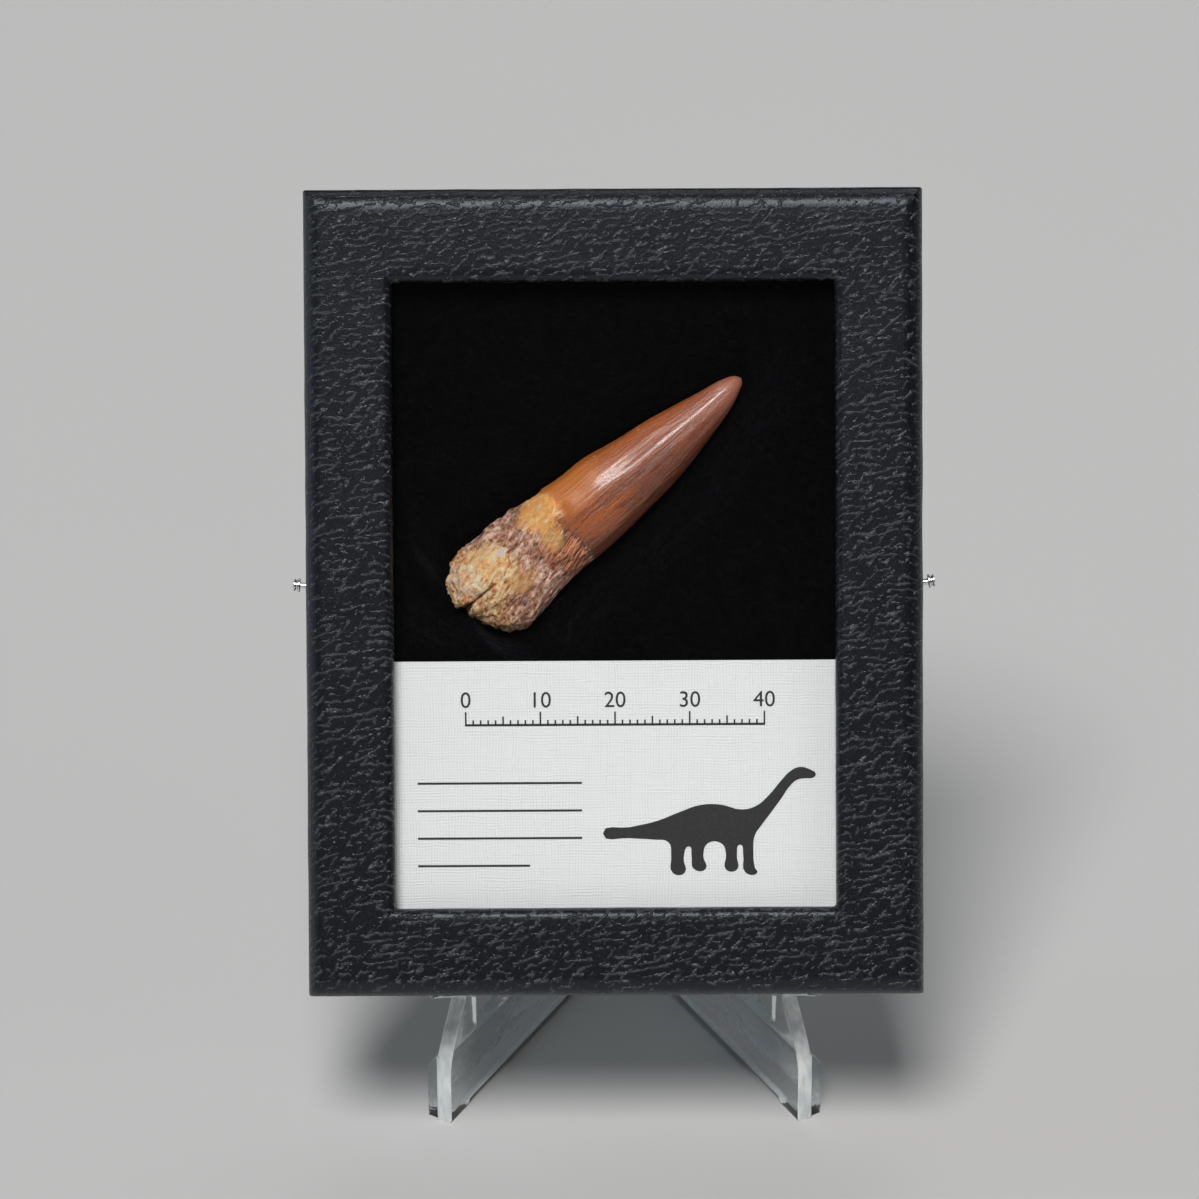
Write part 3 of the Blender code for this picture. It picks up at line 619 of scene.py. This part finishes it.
def tooth_finish():
    """Glossy red-brown enamel, a golden and a ribbed collar, a fibrous root and sandy matrix."""
    finish = Finish("fossil_tooth", specular_ior_level=0.5, coat_roughness=0.16)
    place = finish.place(TOOTH)
    wobble = finish.grain(place, (0.35, 0.35, 0.35), 3.0, 0.6)
    jitter = finish.noise(place, 1.1, 4.0, 0.7)
    raw_along, _, raw_up = finish.axes(place)
    along = raw_along + (wobble - 0.5) * 3.4 + (jitter - 0.5) * 2.6
    up = raw_up + (wobble - 0.5) * 1.8 + (jitter - 0.5) * 1.6

    lines = finish.grain(place, (0.05, 1.6, 1.6), 4.0, 0.65, 0.2)
    hair = finish.grain(place, (0.16, 4.2, 4.2), 3.0, 0.65, 0.5)
    leaning = finish.turn(place, 18)
    fibres = finish.grain(leaning, (0.5, 1.7, 1.7), 5.0, 0.72, 0.7)
    ribs = finish.grain(leaning, (0.35, 4.6, 4.6), 2.0, 0.5, 0.3)
    grit = finish.noise(place, 1.5, 6.0, 0.75)
    flakes = finish.cells(finish.stretch(leaning, (0.6, 1.3, 1.3)), 1.0)
    ground = fibres * 0.55 + grit * 0.45

    # Crown colour across the tooth: the enamel's own red-brown turning orange on the upper side,
    # and partly painted shade, darker towards the lower side.
    crown = finish.ramp(
        up * 0.08 + 0.5 + (lines - 0.5) * 0.36,
        (0.02, (0.17, 0.055, 0.030)),
        (0.20, (0.165, 0.048, 0.024)),
        (0.42, (0.235, 0.060, 0.026)),
        (0.60, (0.32, 0.084, 0.034)),
        (0.80, (0.43, 0.115, 0.028)),
        (0.98, (0.56, 0.155, 0.033)),
    )
    amber = blob(along, up, (20.0, -1.6), (5.5, 2.6), 0.8)
    crown = finish.mix(amber * 0.75, crown, (0.42, 0.105, 0.020))
    stria = finish.grain(place, (0.07, 2.4, 2.4), 3.0, 0.6, 0.3)
    dark_line = stria.step(0.53, 0.60) * up.step(1.4, -1.8) * along.step(44.0, 30.0)
    crown = finish.mix(dark_line * 0.75, crown, (0.055, 0.014, 0.007))
    pores = finish.grain(place, (3.0, 5.5, 5.5), 3.0, 0.7)
    crown = finish.mix(pores.step(0.5, 0.66) * 0.3, crown, (0.46, 0.17, 0.09))
    crown = finish.mix(pores.step(0.49, 0.37) * 0.5, crown, (0.075, 0.020, 0.010))
    crown = finish.mix(hair.step(0.58, 0.72) * 0.45, crown, (0.30, 0.125, 0.07))
    nicks = (1 - flakes.step(0.10, 0.18)) * (up + along * 0.12).step(6.7, 7.4)
    crown = finish.mix(nicks * 0.8, crown, (0.82, 0.45, 0.17))
    crown = finish.mix(along.step(38.0, 46.0) * 0.6, crown, (0.42, 0.165, 0.115))

    # The root's tone runs with its relief: partly its own fibrous colour, partly painted shade in
    # the pits and painted highlight on the high fibres; the stains laid over it below follow the
    # same relief.
    root = finish.ramp(
        ground,
        (0.39, (0.085, 0.026, 0.013)),
        (0.44, (0.30, 0.108, 0.060)),
        (0.485, (0.66, 0.31, 0.20)),
        (0.53, (0.93, 0.58, 0.44)),
        (0.60, (0.99, 0.88, 0.76)),
    )
    dusk = finish.grain(leaning, (0.5, 0.9, 0.9), 3.0, 0.6).step(0.5, 0.64)
    grain = ground.step(0.4, 0.6)
    root = stain(finish, dusk * 0.6, root, grain, (0.05, 0.02, 0.014), (0.40, 0.23, 0.18))
    rust = finish.grain(place, (0.35, 0.35, 0.35), 3.0).step(0.47, 0.6)
    grain = ground.step(0.4, 0.62)
    root = stain(finish, rust * 0.6, root, grain, (0.08, 0.024, 0.012), (0.52, 0.17, 0.07))

    # The matrix's tone runs with the same relief: partly its own sandy colour, partly painted
    # shade, darkest in the pits.
    sand = finish.ramp(
        ground,
        (0.39, (0.15, 0.048, 0.015)),
        (0.44, (0.56, 0.20, 0.060)),
        (0.485, (0.97, 0.48, 0.18)),
        (0.53, (0.99, 0.73, 0.41)),
        (0.60, (0.99, 0.93, 0.76)),
    )
    ochre = blob(along, up, (4.9, 3.0), (2.9, 2.1), 0.5)
    grain = ground.step(0.38, 0.6)
    sand = stain(finish, ochre * 0.8, sand, grain, (0.98, 0.43, 0.11), (0.99, 0.77, 0.42))
    cream = blob(along, up, (0.4, 2.8), (2.6, 2.6), 0.7)
    grain = ground.step(0.4, 0.58)
    sand = stain(finish, cream * 0.75, sand, grain, (0.92, 0.38, 0.15), (0.99, 0.83, 0.61))
    olive = blob(along, up, (1.8, -4.0), (4.2, 3.4), 0.6)
    grain = ground.step(0.42, 0.6)
    sand = stain(finish, olive * 0.6, sand, grain, (0.16, 0.070, 0.024), (0.92, 0.55, 0.24))

    crust = blob(along, up, (1.6, 1.6), (6.6, 4.6), 0.4)
    broken_end = 1 - along.step(-0.5, 5.0)
    skin = finish.mix((crust + broken_end * 0.9).clamp(), root, sand)
    honey = blob(along, up, (6.9, -1.9), (1.9, 1.5), 0.7)
    skin = finish.mix(honey * 0.65, skin, (0.72, 0.38, 0.13))
    collar = blob(along, up, (14.3, -2.2), (3.0, 4.2), 0.6)
    ribbed = finish.mix(ribs.step(0.42, 0.6), (0.14, 0.036, 0.018), (0.90, 0.34, 0.17))
    skin = finish.mix(collar * 0.9, skin, ribbed)
    is_crown = along.step(CROWN_START - 1.2, CROWN_START + 0.2)
    colour = finish.mix(is_crown, skin, crown)
    warm_edge = blob(along, up, (18.5, 3.6), (5.5, 2.8), 0.9)
    colour = finish.mix(warm_edge * 0.55, colour, (0.66, 0.22, 0.045))
    golden = blob(along, up, (14.3, 3.6), (2.9, 2.3), 0.5)
    drip = blob(along, up, (13.6, 0.7), (1.6, 2.3), 0.8)
    grain = ground.step(0.38, 0.62)
    mask = (golden + drip * 0.7).clamp() * 0.92
    colour = stain(finish, mask, colour, grain, (0.99, 0.35, 0.075), (0.99, 0.64, 0.25))
    pale_chip = (1 - flakes.step(0.16, 0.24)) * ground.step(0.47, 0.56) * (1 - is_crown)
    colour = finish.mix(pale_chip * 0.75, colour, (0.90, 0.76, 0.62))
    white_chip = blob(along, up, (7.0, 2.9), (1.1, 0.5), 0.5)
    colour = finish.mix(white_chip * 0.8, colour, (0.86, 0.80, 0.72))
    gap = abs(raw_up - 0.05 + (jitter - 0.5) * 0.5).step(0.22, 0.05) * raw_along.step(4.6, 2.6)
    colour = finish.mix(gap * 0.85, colour, (0.030, 0.015, 0.009))
    finish.set(base_color=colour)

    polish = is_crown * (1 - golden * 0.5)
    finish.set(roughness=0.8 - polish * (0.60 - 0.20 * hair), coat_weight=polish * 0.45)
    smooth_grain = hair * 0.8 + lines * 0.5 + fibres * 0.15 + pores * 0.16
    fine = finish.bump(smooth_grain * polish + ribs * collar * (1 - polish) * 2.0, 0.15 * MM)
    rough = finish.bump((ground + flakes * 0.12) * (1 - polish), 1.05 * MM, under=fine)
    finish.set(normal=rough)
    return finish.made


def on_window(corner):
    """Whether a corner of the lid lies on an upright and on a level edge of the window."""
    x = abs(abs(corner.x) - WINDOW_WIDTH / 2) < TOUCH
    z = min(abs(corner.z - WINDOW_SILL), abs(corner.z - WINDOW_SILL - WINDOW_HEIGHT)) < TOUCH
    inside = WINDOW_SILL - TOUCH < corner.z < WINDOW_SILL + WINDOW_HEIGHT + TOUCH
    return (x and inside, z and abs(corner.x) < WINDOW_WIDTH / 2 + TOUCH)


def on_outside(corner):
    """Whether a corner of the lid lies on its side and on its end."""
    side = abs(abs(corner.x) - CASE_WIDTH / 2) < TOUCH
    end = min(abs(corner.z), abs(corner.z - CASE_HEIGHT)) < TOUCH
    return (side, end)


def lid_edge_weight(first, second):
    """How much an edge of the lid is rounded, as a share of the edge radius."""
    at_face = max(abs(first.y + CASE_DEPTH), abs(second.y + CASE_DEPTH)) < TOUCH
    at_back = max(abs(first.y), abs(second.y)) < TOUCH
    outside = [a and b for a, b in zip(on_outside(first), on_outside(second))]
    window = [a and b for a, b in zip(on_window(first), on_window(second))]
    if all(outside):
        return 0.17
    if any(outside) and at_face:
        return 1.0
    if any(outside) and at_back:
        return 0.12
    if any(window) and at_face:
        return 0.5
    if all(window):
        return 0.15
    return 0.0


def cut_across(axis, *stops):
    """Cuts a piece by planes spaced evenly between the stops, so that it can be shaped."""
    normal = Vector()
    normal[axis] = 1.0
    for low, high in zip(stops, stops[1:]):
        count = round((high - low) / LID_CELL)
        for step in range(1, count):
            place = Vector()
            place[axis] = low + (high - low) * step / count
            bpy.ops.mesh.select_all(action="SELECT")
            bpy.ops.mesh.bisect(plane_co=place, plane_no=normal)


def lid_unevenness(place):
    """Board and cloth are never quite flat: slow swells of a few hundredths of a millimetre."""
    slow = noise.noise(place * 0.12)
    quick = noise.noise(place * 0.4 + Vector((9, 2, 5)))
    return 0.05 * slow + 0.035 * quick - 0.05


def pillow(corner):
    """How far the padded face of the lid falls away towards its outer edges."""
    in_from_edge = min(
        CASE_WIDTH / 2 - abs(corner.x), CASE_HEIGHT / 2 - abs(corner.z - CASE_HEIGHT / 2),
    )
    near = min(1.0, max(0.0, 1 - in_from_edge / PILLOW_REACH))
    at_face = smooth_step((-corner.y - PILLOW_END) / PILLOW_DEPTH)
    return PILLOW_FALL * near * near * at_face


def build_lid():
    """A block opened at the back and through the window, walled, rounded and a little uneven."""
    lid = add_block(
        "lid_cover", (0, -CASE_DEPTH / 2, CASE_HEIGHT / 2), (CASE_WIDTH, CASE_DEPTH, CASE_HEIGHT),
    )
    border = (CASE_WIDTH - WINDOW_WIDTH) / 2
    window_rise = WINDOW_SILL + WINDOW_HEIGHT / 2 - CASE_HEIGHT / 2
    with editing(lid):
        pick(lid, "FACE", lambda face: face.normal.y < -0.5)
        bpy.ops.mesh.inset(thickness=border, depth=0)
        tall = CASE_HEIGHT - 2 * border
        bpy.ops.transform.resize(
            value=(1, 1, WINDOW_HEIGHT / tall), center_override=(0, -CASE_DEPTH, CASE_HEIGHT / 2),
        )
        bpy.ops.transform.translate(value=(0, 0, window_rise))
        bpy.ops.mesh.delete(type="FACE")
        pick(lid, "FACE", lambda face: face.normal.y > 0.5)
        bpy.ops.mesh.delete(type="FACE")
        cut_across(0, -CASE_WIDTH / 2, -WINDOW_WIDTH / 2, WINDOW_WIDTH / 2, CASE_WIDTH / 2)
        cut_across(2, 0, WINDOW_SILL, WINDOW_SILL + WINDOW_HEIGHT, CASE_HEIGHT)
        cut_across(1, -CASE_DEPTH, 0)
    modify(lid, "SOLIDIFY", thickness=LID_WALL, offset=-1.0, use_even_offset=True)
    apply_modifiers(lid)
    weights = lid.data.attributes.new("bevel_weight_edge", "FLOAT", "EDGE")
    corners = [corner.co for corner in lid.data.vertices]
    for edge in lid.data.edges:
        weights.data[edge.index].value = lid_edge_weight(*(corners[i] for i in edge.vertices))
    modify(lid, "BEVEL", width=EDGE_RADIUS, segments=5, limit_method="WEIGHT")
    modify(lid, "SUBSURF", subdivision_type="SIMPLE", levels=1, render_levels=1)
    apply_modifiers(lid)
    displace(lid, lid_unevenness)
    for corner in lid.data.vertices:
        corner.co.y += pillow(corner.co)
    settle(lid, CASE)
    hand_over(lid, leatherette(), "black_leatherette", "case_lid")


def outline_at(along):
    """Centre line, half width and half depth of the tooth at a place on its axis."""
    along = min(max(along, TOOTH_OUTLINE[0][0]), TOOTH_OUTLINE[-1][0])
    for low, high in zip(TOOTH_OUTLINE, TOOTH_OUTLINE[1:]):
        if along <= high[0]:
            share = (along - low[0]) / (high[0] - low[0])
            return [a + (b - a) * share for a, b in zip(low[1:], high[1:])]
    return TOOTH_OUTLINE[-1][1:]


def axis_forward(along):
    """How far the tooth's axis has moved in Y, towards the glass, at a place along it."""
    return -TOOTH_FORWARD * max(0.0, along / TOOTH_LENGTH) ** 2


def pad_front(x, z):
    """Depth of the felt: level, lower under the card, dipped round the tooth and under it."""
    under_card = smooth_step((CARD_TOP / MM + STEP_ABOVE_CARD - z) / STEP_RUN)
    level = PAD_FRONT + (PAD_UNDER_CARD - PAD_FRONT) * under_card
    base = TOOTH_BASE / MM
    dx, dz = x - base.x, z - base.z
    cos, sin = math.cos(TOOTH_RISE), math.sin(TOOTH_RISE)
    along, side = dx * cos + dz * sin, dz * cos - dx * sin
    centre, width, depth = outline_at(along)
    beyond = max(TOOTH_OUTLINE[0][0] - along, along - TOOTH_OUTLINE[-1][0], 0.0)
    distance = math.hypot(max(0.0, abs(side - centre) - width), beyond)
    axis = base.y + axis_forward(min(along, TOOTH_LENGTH))
    lip = axis + DIP_BEHIND_AXIS
    surface = lip + (level - lip) * smooth_step(distance / DIP_REACH)
    reach = abs(side - centre) / (width + ROOM_BESIDE)
    if reach < 1 and beyond == 0:
        surface = max(surface, axis + (depth + ROOM_BEHIND) * math.sqrt(1 - reach * reach))
    return surface


def build_pad():
    """The felt: a fine sheet pressed into a dip round the tooth, closed behind as a pad."""
    low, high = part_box("padding")
    half_x = (high.x - low.x) / 2
    half_z = CASE_HEIGHT / 2 - (CASE_WIDTH / 2 - half_x)
    deselect()
    bpy.ops.mesh.primitive_grid_add(
        x_subdivisions=PAD_COLUMNS, y_subdivisions=PAD_ROWS, size=1,
        location=(0, 0, CASE_HEIGHT / 2), rotation=(math.pi / 2, 0, 0),
    )
    pad = name_active("felt_pad")
    pad.scale = (2 * half_x, 2 * half_z, 1)
    bpy.ops.object.transform_apply(location=True, rotation=True, scale=True)
    for corner in pad.data.vertices:
        x, z = corner.co.x / MM, corner.co.z / MM
        uneven = 0.0
        for far, patches, seed in PAD_UNEVENNESS:
            uneven += far * noise.noise(Vector((x, z, seed)) * patches)
        corner.co.y = max(pad_front(x, z) + uneven, PAD_FRONT - NAP_LIMIT) * MM
    with editing(pad):
        pick(pad, "EDGE", lambda edge: edge.is_boundary)
        bpy.ops.mesh.extrude_edges_move()
        bpy.ops.transform.resize(value=(1, 0, 1), center_override=(0, PAD_BACK * MM, 0))
        bpy.ops.mesh.edge_face_add()
        bpy.ops.mesh.select_all(action="SELECT")
        bpy.ops.mesh.normals_make_consistent(inside=False)
    settle(pad, CASE)
    hand_over(pad, felt(), "black_felt", "padding")


def enamel_relief(place, angle, fade):
    """Low flutes round the crown and fine wrinkles along it, gone towards the tip."""
    along, depth, up = place
    flute = 0.014 * math.cos(17 * angle + 2.2 * noise.noise(place * 0.16)) * fade
    wrinkle = 0.03 * noise.noise(Vector((along * 0.18, depth * 1.9, up * 1.9))) * fade
    return 0.06 + flute + wrinkle


def root_relief(place):
    """Slanting fibres, lumps and grit, coarser towards the broken end."""
    along, depth, up = place
    cos, sin = math.cos(FIBRE_LEAN), math.sin(FIBRE_LEAN)
    flow = ((along * cos + up * sin) * 0.45, depth * 1.5, (up * cos - along * sin) * 1.5)
    fibres = noise.noise(Vector(flow))
    lumps = noise.noise(place * 0.55) + 0.5 * noise.noise(place * 1.3)
    grit = noise.noise(place * 2.6)
    end = 1 - smooth_step((along - 0.5) / 6)
    return 0.22 * fibres + (0.14 + 0.24 * end) * lumps + 0.14 * grit * (0.6 + end) - 0.08


def crack_depth(spot):
    """How deep the cracks and the chip go at a spot on the side that looks at the glass."""
    distance, share = near_line(spot, MAIN_CRACK)
    width = 0.15 + 0.6 * (1 - share) ** 3
    depth = (0.3 + 1.3 * (1 - share) ** 2) * bell(distance, width)
    for line, deep, wide in ((SIDE_CRACK, 0.3, 0.2), (CHIP, 0.14, 0.45)):
        depth += deep * bell(near_line(spot, line)[0], wide)
    return depth


def tooth_relief(place):
    """How far the tooth's surface stands out, in millimetres, at a place in its own frame."""
    along, depth, up = place
    angle = math.atan2(-depth, up)
    line = CROWN_START - 0.8 * math.cos(2 * angle) + 0.9 * noise.noise(place * 0.6)
    crown = smooth_step((along - line) / 0.9)
    fade = smooth_step((TOOTH_LENGTH - along) / 14)
    relief = crown * enamel_relief(place, angle, fade) + (1 - crown) * root_relief(place)
    slim = smooth_step((along - 22) / 9) * smooth_step((TOOTH_LENGTH - along) / 5)
    relief -= 0.5 * slim * smooth_step((up + 1.2) / 4.4)
    relief -= 0.3 * bell(along - 20.0, 3.0) * smooth_step((up - 0.5) / 4)
    relief += bell(depth, 0.5) * crown * fade * (0.03 + 0.07 * noise.noise(place * 3.1))
    if depth < 1.5:
        relief -= crack_depth(Vector((along, up)))
    return relief


def build_tooth():
    """The solid tooth made fine, with the relief of its enamel, root and cracks worked in."""
    tooth = copy_of_node("fossil_tooth", "tooth")
    settle(tooth, TOOTH.inverted())
    with editing(tooth):
        bpy.ops.mesh.select_all(action="SELECT")
        bpy.ops.mesh.tris_convert_to_quads()
        bpy.ops.mesh.normals_make_consistent(inside=False)
    modify(tooth, "SUBSURF", levels=2, render_levels=2)
    apply_modifiers(tooth)
    displace(tooth, tooth_relief)
    settle(tooth, TOOTH)
    hand_over(tooth, tooth_finish(), "tooth_enamel", "tooth", smooth=math.pi)


def ink_bar(x, z, width, height):
    """A stroke of ink on the card, from its lower left corner."""
    centre = Vector((x + width / 2, 0, z + height / 2)) * MM
    centre.y = CARD_FRONT_Y - INK_DEPTH / 2
    return add_block("ink", centre, (width * MM, INK_DEPTH, height * MM))


def ink_figure(text, x, z):
    """A plain number, centred over its tick."""
    deselect()
    place = (x * MM, CARD_FRONT_Y - INK_DEPTH / 2, z * MM)
    bpy.ops.object.text_add(location=place, rotation=(math.pi / 2, 0, 0))
    figure = bpy.context.active_object
    figure.data.body = text
    figure.data.size = FIGURE_SIZE * MM
    figure.data.align_x = "CENTER"
    figure.data.extrude = INK_DEPTH / 2
    bpy.ops.object.convert(target="MESH")
    bpy.ops.object.transform_apply(location=True, rotation=True, scale=True)
    return bpy.context.active_object


def ink_animal():
    """A generic long-necked animal walking to the right, as one filled outline."""
    curve = bpy.data.curves.new("ink", "CURVE")
    curve.dimensions = "2D"
    curve.fill_mode = "BOTH"
    curve.extrude = INK_DEPTH / 2
    curve.resolution_u = 4
    spline = curve.splines.new("BEZIER")
    spline.bezier_points.add(len(ANIMAL_OUTLINE) - 1)
    spline.use_cyclic_u = True
    for point, (x, z) in zip(spline.bezier_points, ANIMAL_OUTLINE):
        across = ANIMAL_PLACE.x + x * ANIMAL_SIZE
        point.co = (across * MM, (ANIMAL_PLACE.y + z * ANIMAL_SIZE) * MM, 0)
        point.handle_left_type = point.handle_right_type = "AUTO"
    animal = bpy.data.objects.new("ink", curve)
    bpy.context.scene.collection.objects.link(animal)
    take(animal)
    bpy.ops.object.convert(target="MESH")
    animal = bpy.context.active_object
    animal.rotation_euler.x = math.pi / 2
    animal.location.y = CARD_FRONT_Y - INK_DEPTH / 2
    bpy.ops.object.transform_apply(location=True, rotation=True, scale=True)
    return animal


def build_print():
    """A millimetre scale with plain numbers, a generic animal and ruled lines for writing."""
    parts = [ink_bar(SCALE_LEFT, SCALE_Z, SCALE_LENGTH, SCALE_STROKE)]
    for tick in range(SCALE_LENGTH + 1):
        tall = next(height for step, height in TICK_HEIGHTS.items() if tick % step == 0)
        parts.append(ink_bar(SCALE_LEFT + tick - TICK_WIDTH / 2, SCALE_Z, TICK_WIDTH, tall))
        if tick % 10 == 0:
            parts.append(ink_figure(str(tick), SCALE_LEFT + tick, SCALE_Z + FIGURE_RISE))
    for row, length in enumerate(LINE_LENGTHS):
        parts.append(ink_bar(LINE_LEFT, LINE_TOP - row * LINE_PITCH, length, LINE_STROKE))
    parts.append(ink_animal())
    deselect()
    for part in parts:
        part.select_set(True)
    bpy.context.view_layer.objects.active = parts[0]
    bpy.ops.object.join()
    printed = name_active("label_print")
    settle(printed, CASE)
    hand_over(printed, print_ink(), "white_card")


def build_pin(label, side, finish):
    """A pin drawn out ring by ring from its point to its double-rimmed head."""
    (first, radius), *rest = PIN_PROFILE
    deselect()
    bpy.ops.mesh.primitive_circle_add(
        vertices=PIN_SIDES, radius=radius * MM, fill_type="NGON", rotation=(0, math.pi / 2, 0),
        location=(first * MM, 0, 0),
    )
    bpy.ops.object.transform_apply(location=True, rotation=True, scale=True)
    pin = name_active("steel_pin_" + label)
    along = first
    with editing(pin):
        bpy.ops.mesh.select_all(action="SELECT")
        for place, wide in rest:
            bpy.ops.mesh.extrude_region_move(
                TRANSFORM_OT_translate={"value": ((place - along) * MM, 0, 0)}
            )
            share = wide / radius
            bpy.ops.transform.resize(value=(1, share, share), center_override=(place * MM, 0, 0))
            along, radius = place, wide
        bpy.ops.mesh.select_all(action="SELECT")
        bpy.ops.mesh.normals_make_consistent(inside=False)
    turn = -PIN_TILT[label] if side > 0 else math.pi + PIN_TILT[label]
    wall = Matrix.Translation((side * CASE_WIDTH / 2, PIN_Y, PIN_Z))
    settle(pin, CASE @ wall @ Matrix.Rotation(turn, 4, "Y"))
    hand_over(pin, finish, "pin_steel", "pin_" + label)


def build_arm(label, side, clear, frosted):
    """An easel arm with its moulded edges eased and its sawn front edges frosted."""
    arm = copy_of_node("easel_arm_" + label, "stand_arm_" + label)
    with editing(arm):
        bpy.ops.mesh.select_all(action="SELECT")
        bpy.ops.mesh.dissolve_limited(angle_limit=math.radians(1))
    modify(arm, "BEVEL", width=ARM_EASING, segments=2, limit_method="ANGLE", angle_limit=SHARP)
    apply_modifiers(arm)
    hand_over(arm, clear, "clear_plastic", "stand_arm_" + label)
    arm.data.materials.append(frosted)
    turn = Matrix.Rotation(math.pi / 2 + side * ARM_SPLAY, 4, "Z")
    foot = (EASEL_X + side * FOOT_HALF_SPREAD, EASEL_FRONT_Y, 0)
    to_arm = (Matrix.Translation(foot) @ turn).inverted()
    for face in arm.data.polygons:
        x, y, z = to_arm @ face.center
        at_front = x < FROSTED_DEPTH and abs(y) < ARM_THICKNESS and z < FROSTED_TOP
        sawn = (to_arm.to_3x3() @ face.normal).x < -0.55
        if sawn and at_front or face.normal.z < -0.3:
            face.material_index = 1


def build_floor():
    """A plain pale floor, far wider than the view."""
    deselect()
    bpy.ops.mesh.primitive_plane_add(size=1, location=(0, 0, 0))
    floor = name_active("floor")
    with editing(floor):
        bpy.ops.mesh.select_all(action="SELECT")
        bpy.ops.transform.resize(value=(FLOOR_SIZE, FLOOR_SIZE, 1), center_override=(0, 0, 0))
    finish = Finish("pale_floor", 0.6)
    cloud = finish.noise(finish.place(Matrix.Identity(4)), 0.004, 2.0)
    finish.set(base_color=finish.mix(cloud, (0.50, 0.50, 0.505), (0.53, 0.53, 0.53)))
    floor.data.materials.append(finish.made)


def add_sky_lamp(name, azimuth, elevation, spread, strength, colour, mirrored=True):
    """A broad far-off soft lamp: azimuth 0 in front, 90 to the right; spread across it."""
    a, e = math.radians(azimuth), math.radians(elevation)
    away = Vector((math.sin(a) * math.cos(e), -math.cos(a) * math.cos(e), math.sin(e)))
    lamp = bpy.data.lights.new(name, "SUN")
    lamp.angle = math.radians(spread)
    lamp.energy = strength
    lamp.color = colour
    holder = bpy.data.objects.new(name, lamp)
    holder.visible_glossy = mirrored
    holder.rotation_euler = away.to_track_quat("Z", "Y").to_euler()
    bpy.context.scene.collection.objects.link(holder)


def build_lights():
    """Four broad soft lamps, and a sky that is faint on the goods and pale to the camera."""
    add_sky_lamp("key", -12, 55, 24, 3.2, (1.0, 0.985, 0.965))
    add_sky_lamp("left", -96, 22, 40, 0.6, (0.74, 0.90, 1.0))
    add_sky_lamp("right", 60, 6, 40, 0.8, (1.0, 0.97, 0.94), mirrored=False)
    add_sky_lamp("back", 170, 52, 40, 0.35, (1.0, 1.0, 1.0))
    world = bpy.data.worlds.new("studio")
    world.use_nodes = True
    background = world.node_tree.nodes["Background"]
    background.inputs["Color"].default_value = SKY_COLOUR
    seen = world.node_tree.nodes.new("ShaderNodeLightPath").outputs["Is Camera Ray"]
    level = world.node_tree.nodes.new("ShaderNodeMapRange")
    level.inputs["To Min"].default_value = SKY_LIGHT
    level.inputs["To Max"].default_value = SKY_SEEN
    world.node_tree.links.new(seen, level.inputs["Value"])
    world.node_tree.links.new(level.outputs["Result"], background.inputs["Strength"])
    bpy.context.scene.world = world
    bpy.context.scene.view_settings.view_transform = "Standard"


def build_camera():
    """The photograph's view: a long lens that looks down on the face, nearly square to it."""
    face = CASE @ Vector((0, -CASE_DEPTH, CASE_HEIGHT / 2))
    look = Vector((0, math.cos(VIEW_ELEVATION), -math.sin(VIEW_ELEVATION)))
    upwards = Vector((0, math.sin(VIEW_ELEVATION), math.cos(VIEW_ELEVATION)))
    aim = face - Vector((AIM_LEFT, 0, 0)) - upwards * AIM_DOWN
    lens = bpy.data.cameras.new("camera")
    lens.sensor_width = SENSOR_WIDTH
    lens.lens = SENSOR_WIDTH * VIEW_DISTANCE / VIEW_WIDTH
    lens.clip_start = 0.01
    camera = bpy.data.objects.new("camera", lens)
    turn = look.to_track_quat("-Z", "Y").to_matrix().to_4x4()
    roll = Matrix.Rotation(-VIEW_ROLL, 4, "Z")
    camera.matrix_world = Matrix.Translation(aim - look * VIEW_DISTANCE) @ turn @ roll
    bpy.context.scene.collection.objects.link(camera)
    bpy.context.scene.camera = camera


build_camera()
build_lid()
build_pad()
build_tooth()
dress("label_card", linen_card())
build_print()
dress("glass_pane", clear_glass())
dress("case_tray", board_paper())
steel = pin_steel()
for label, side in SIDES:
    build_pin(label, side, steel)
clear = clear_plastic()
frosted = frosted_plastic()
for label, side in SIDES:
    build_arm(label, side, clear, frosted)
dress("stand_hinge_pin", clear)
build_floor()
build_lights()
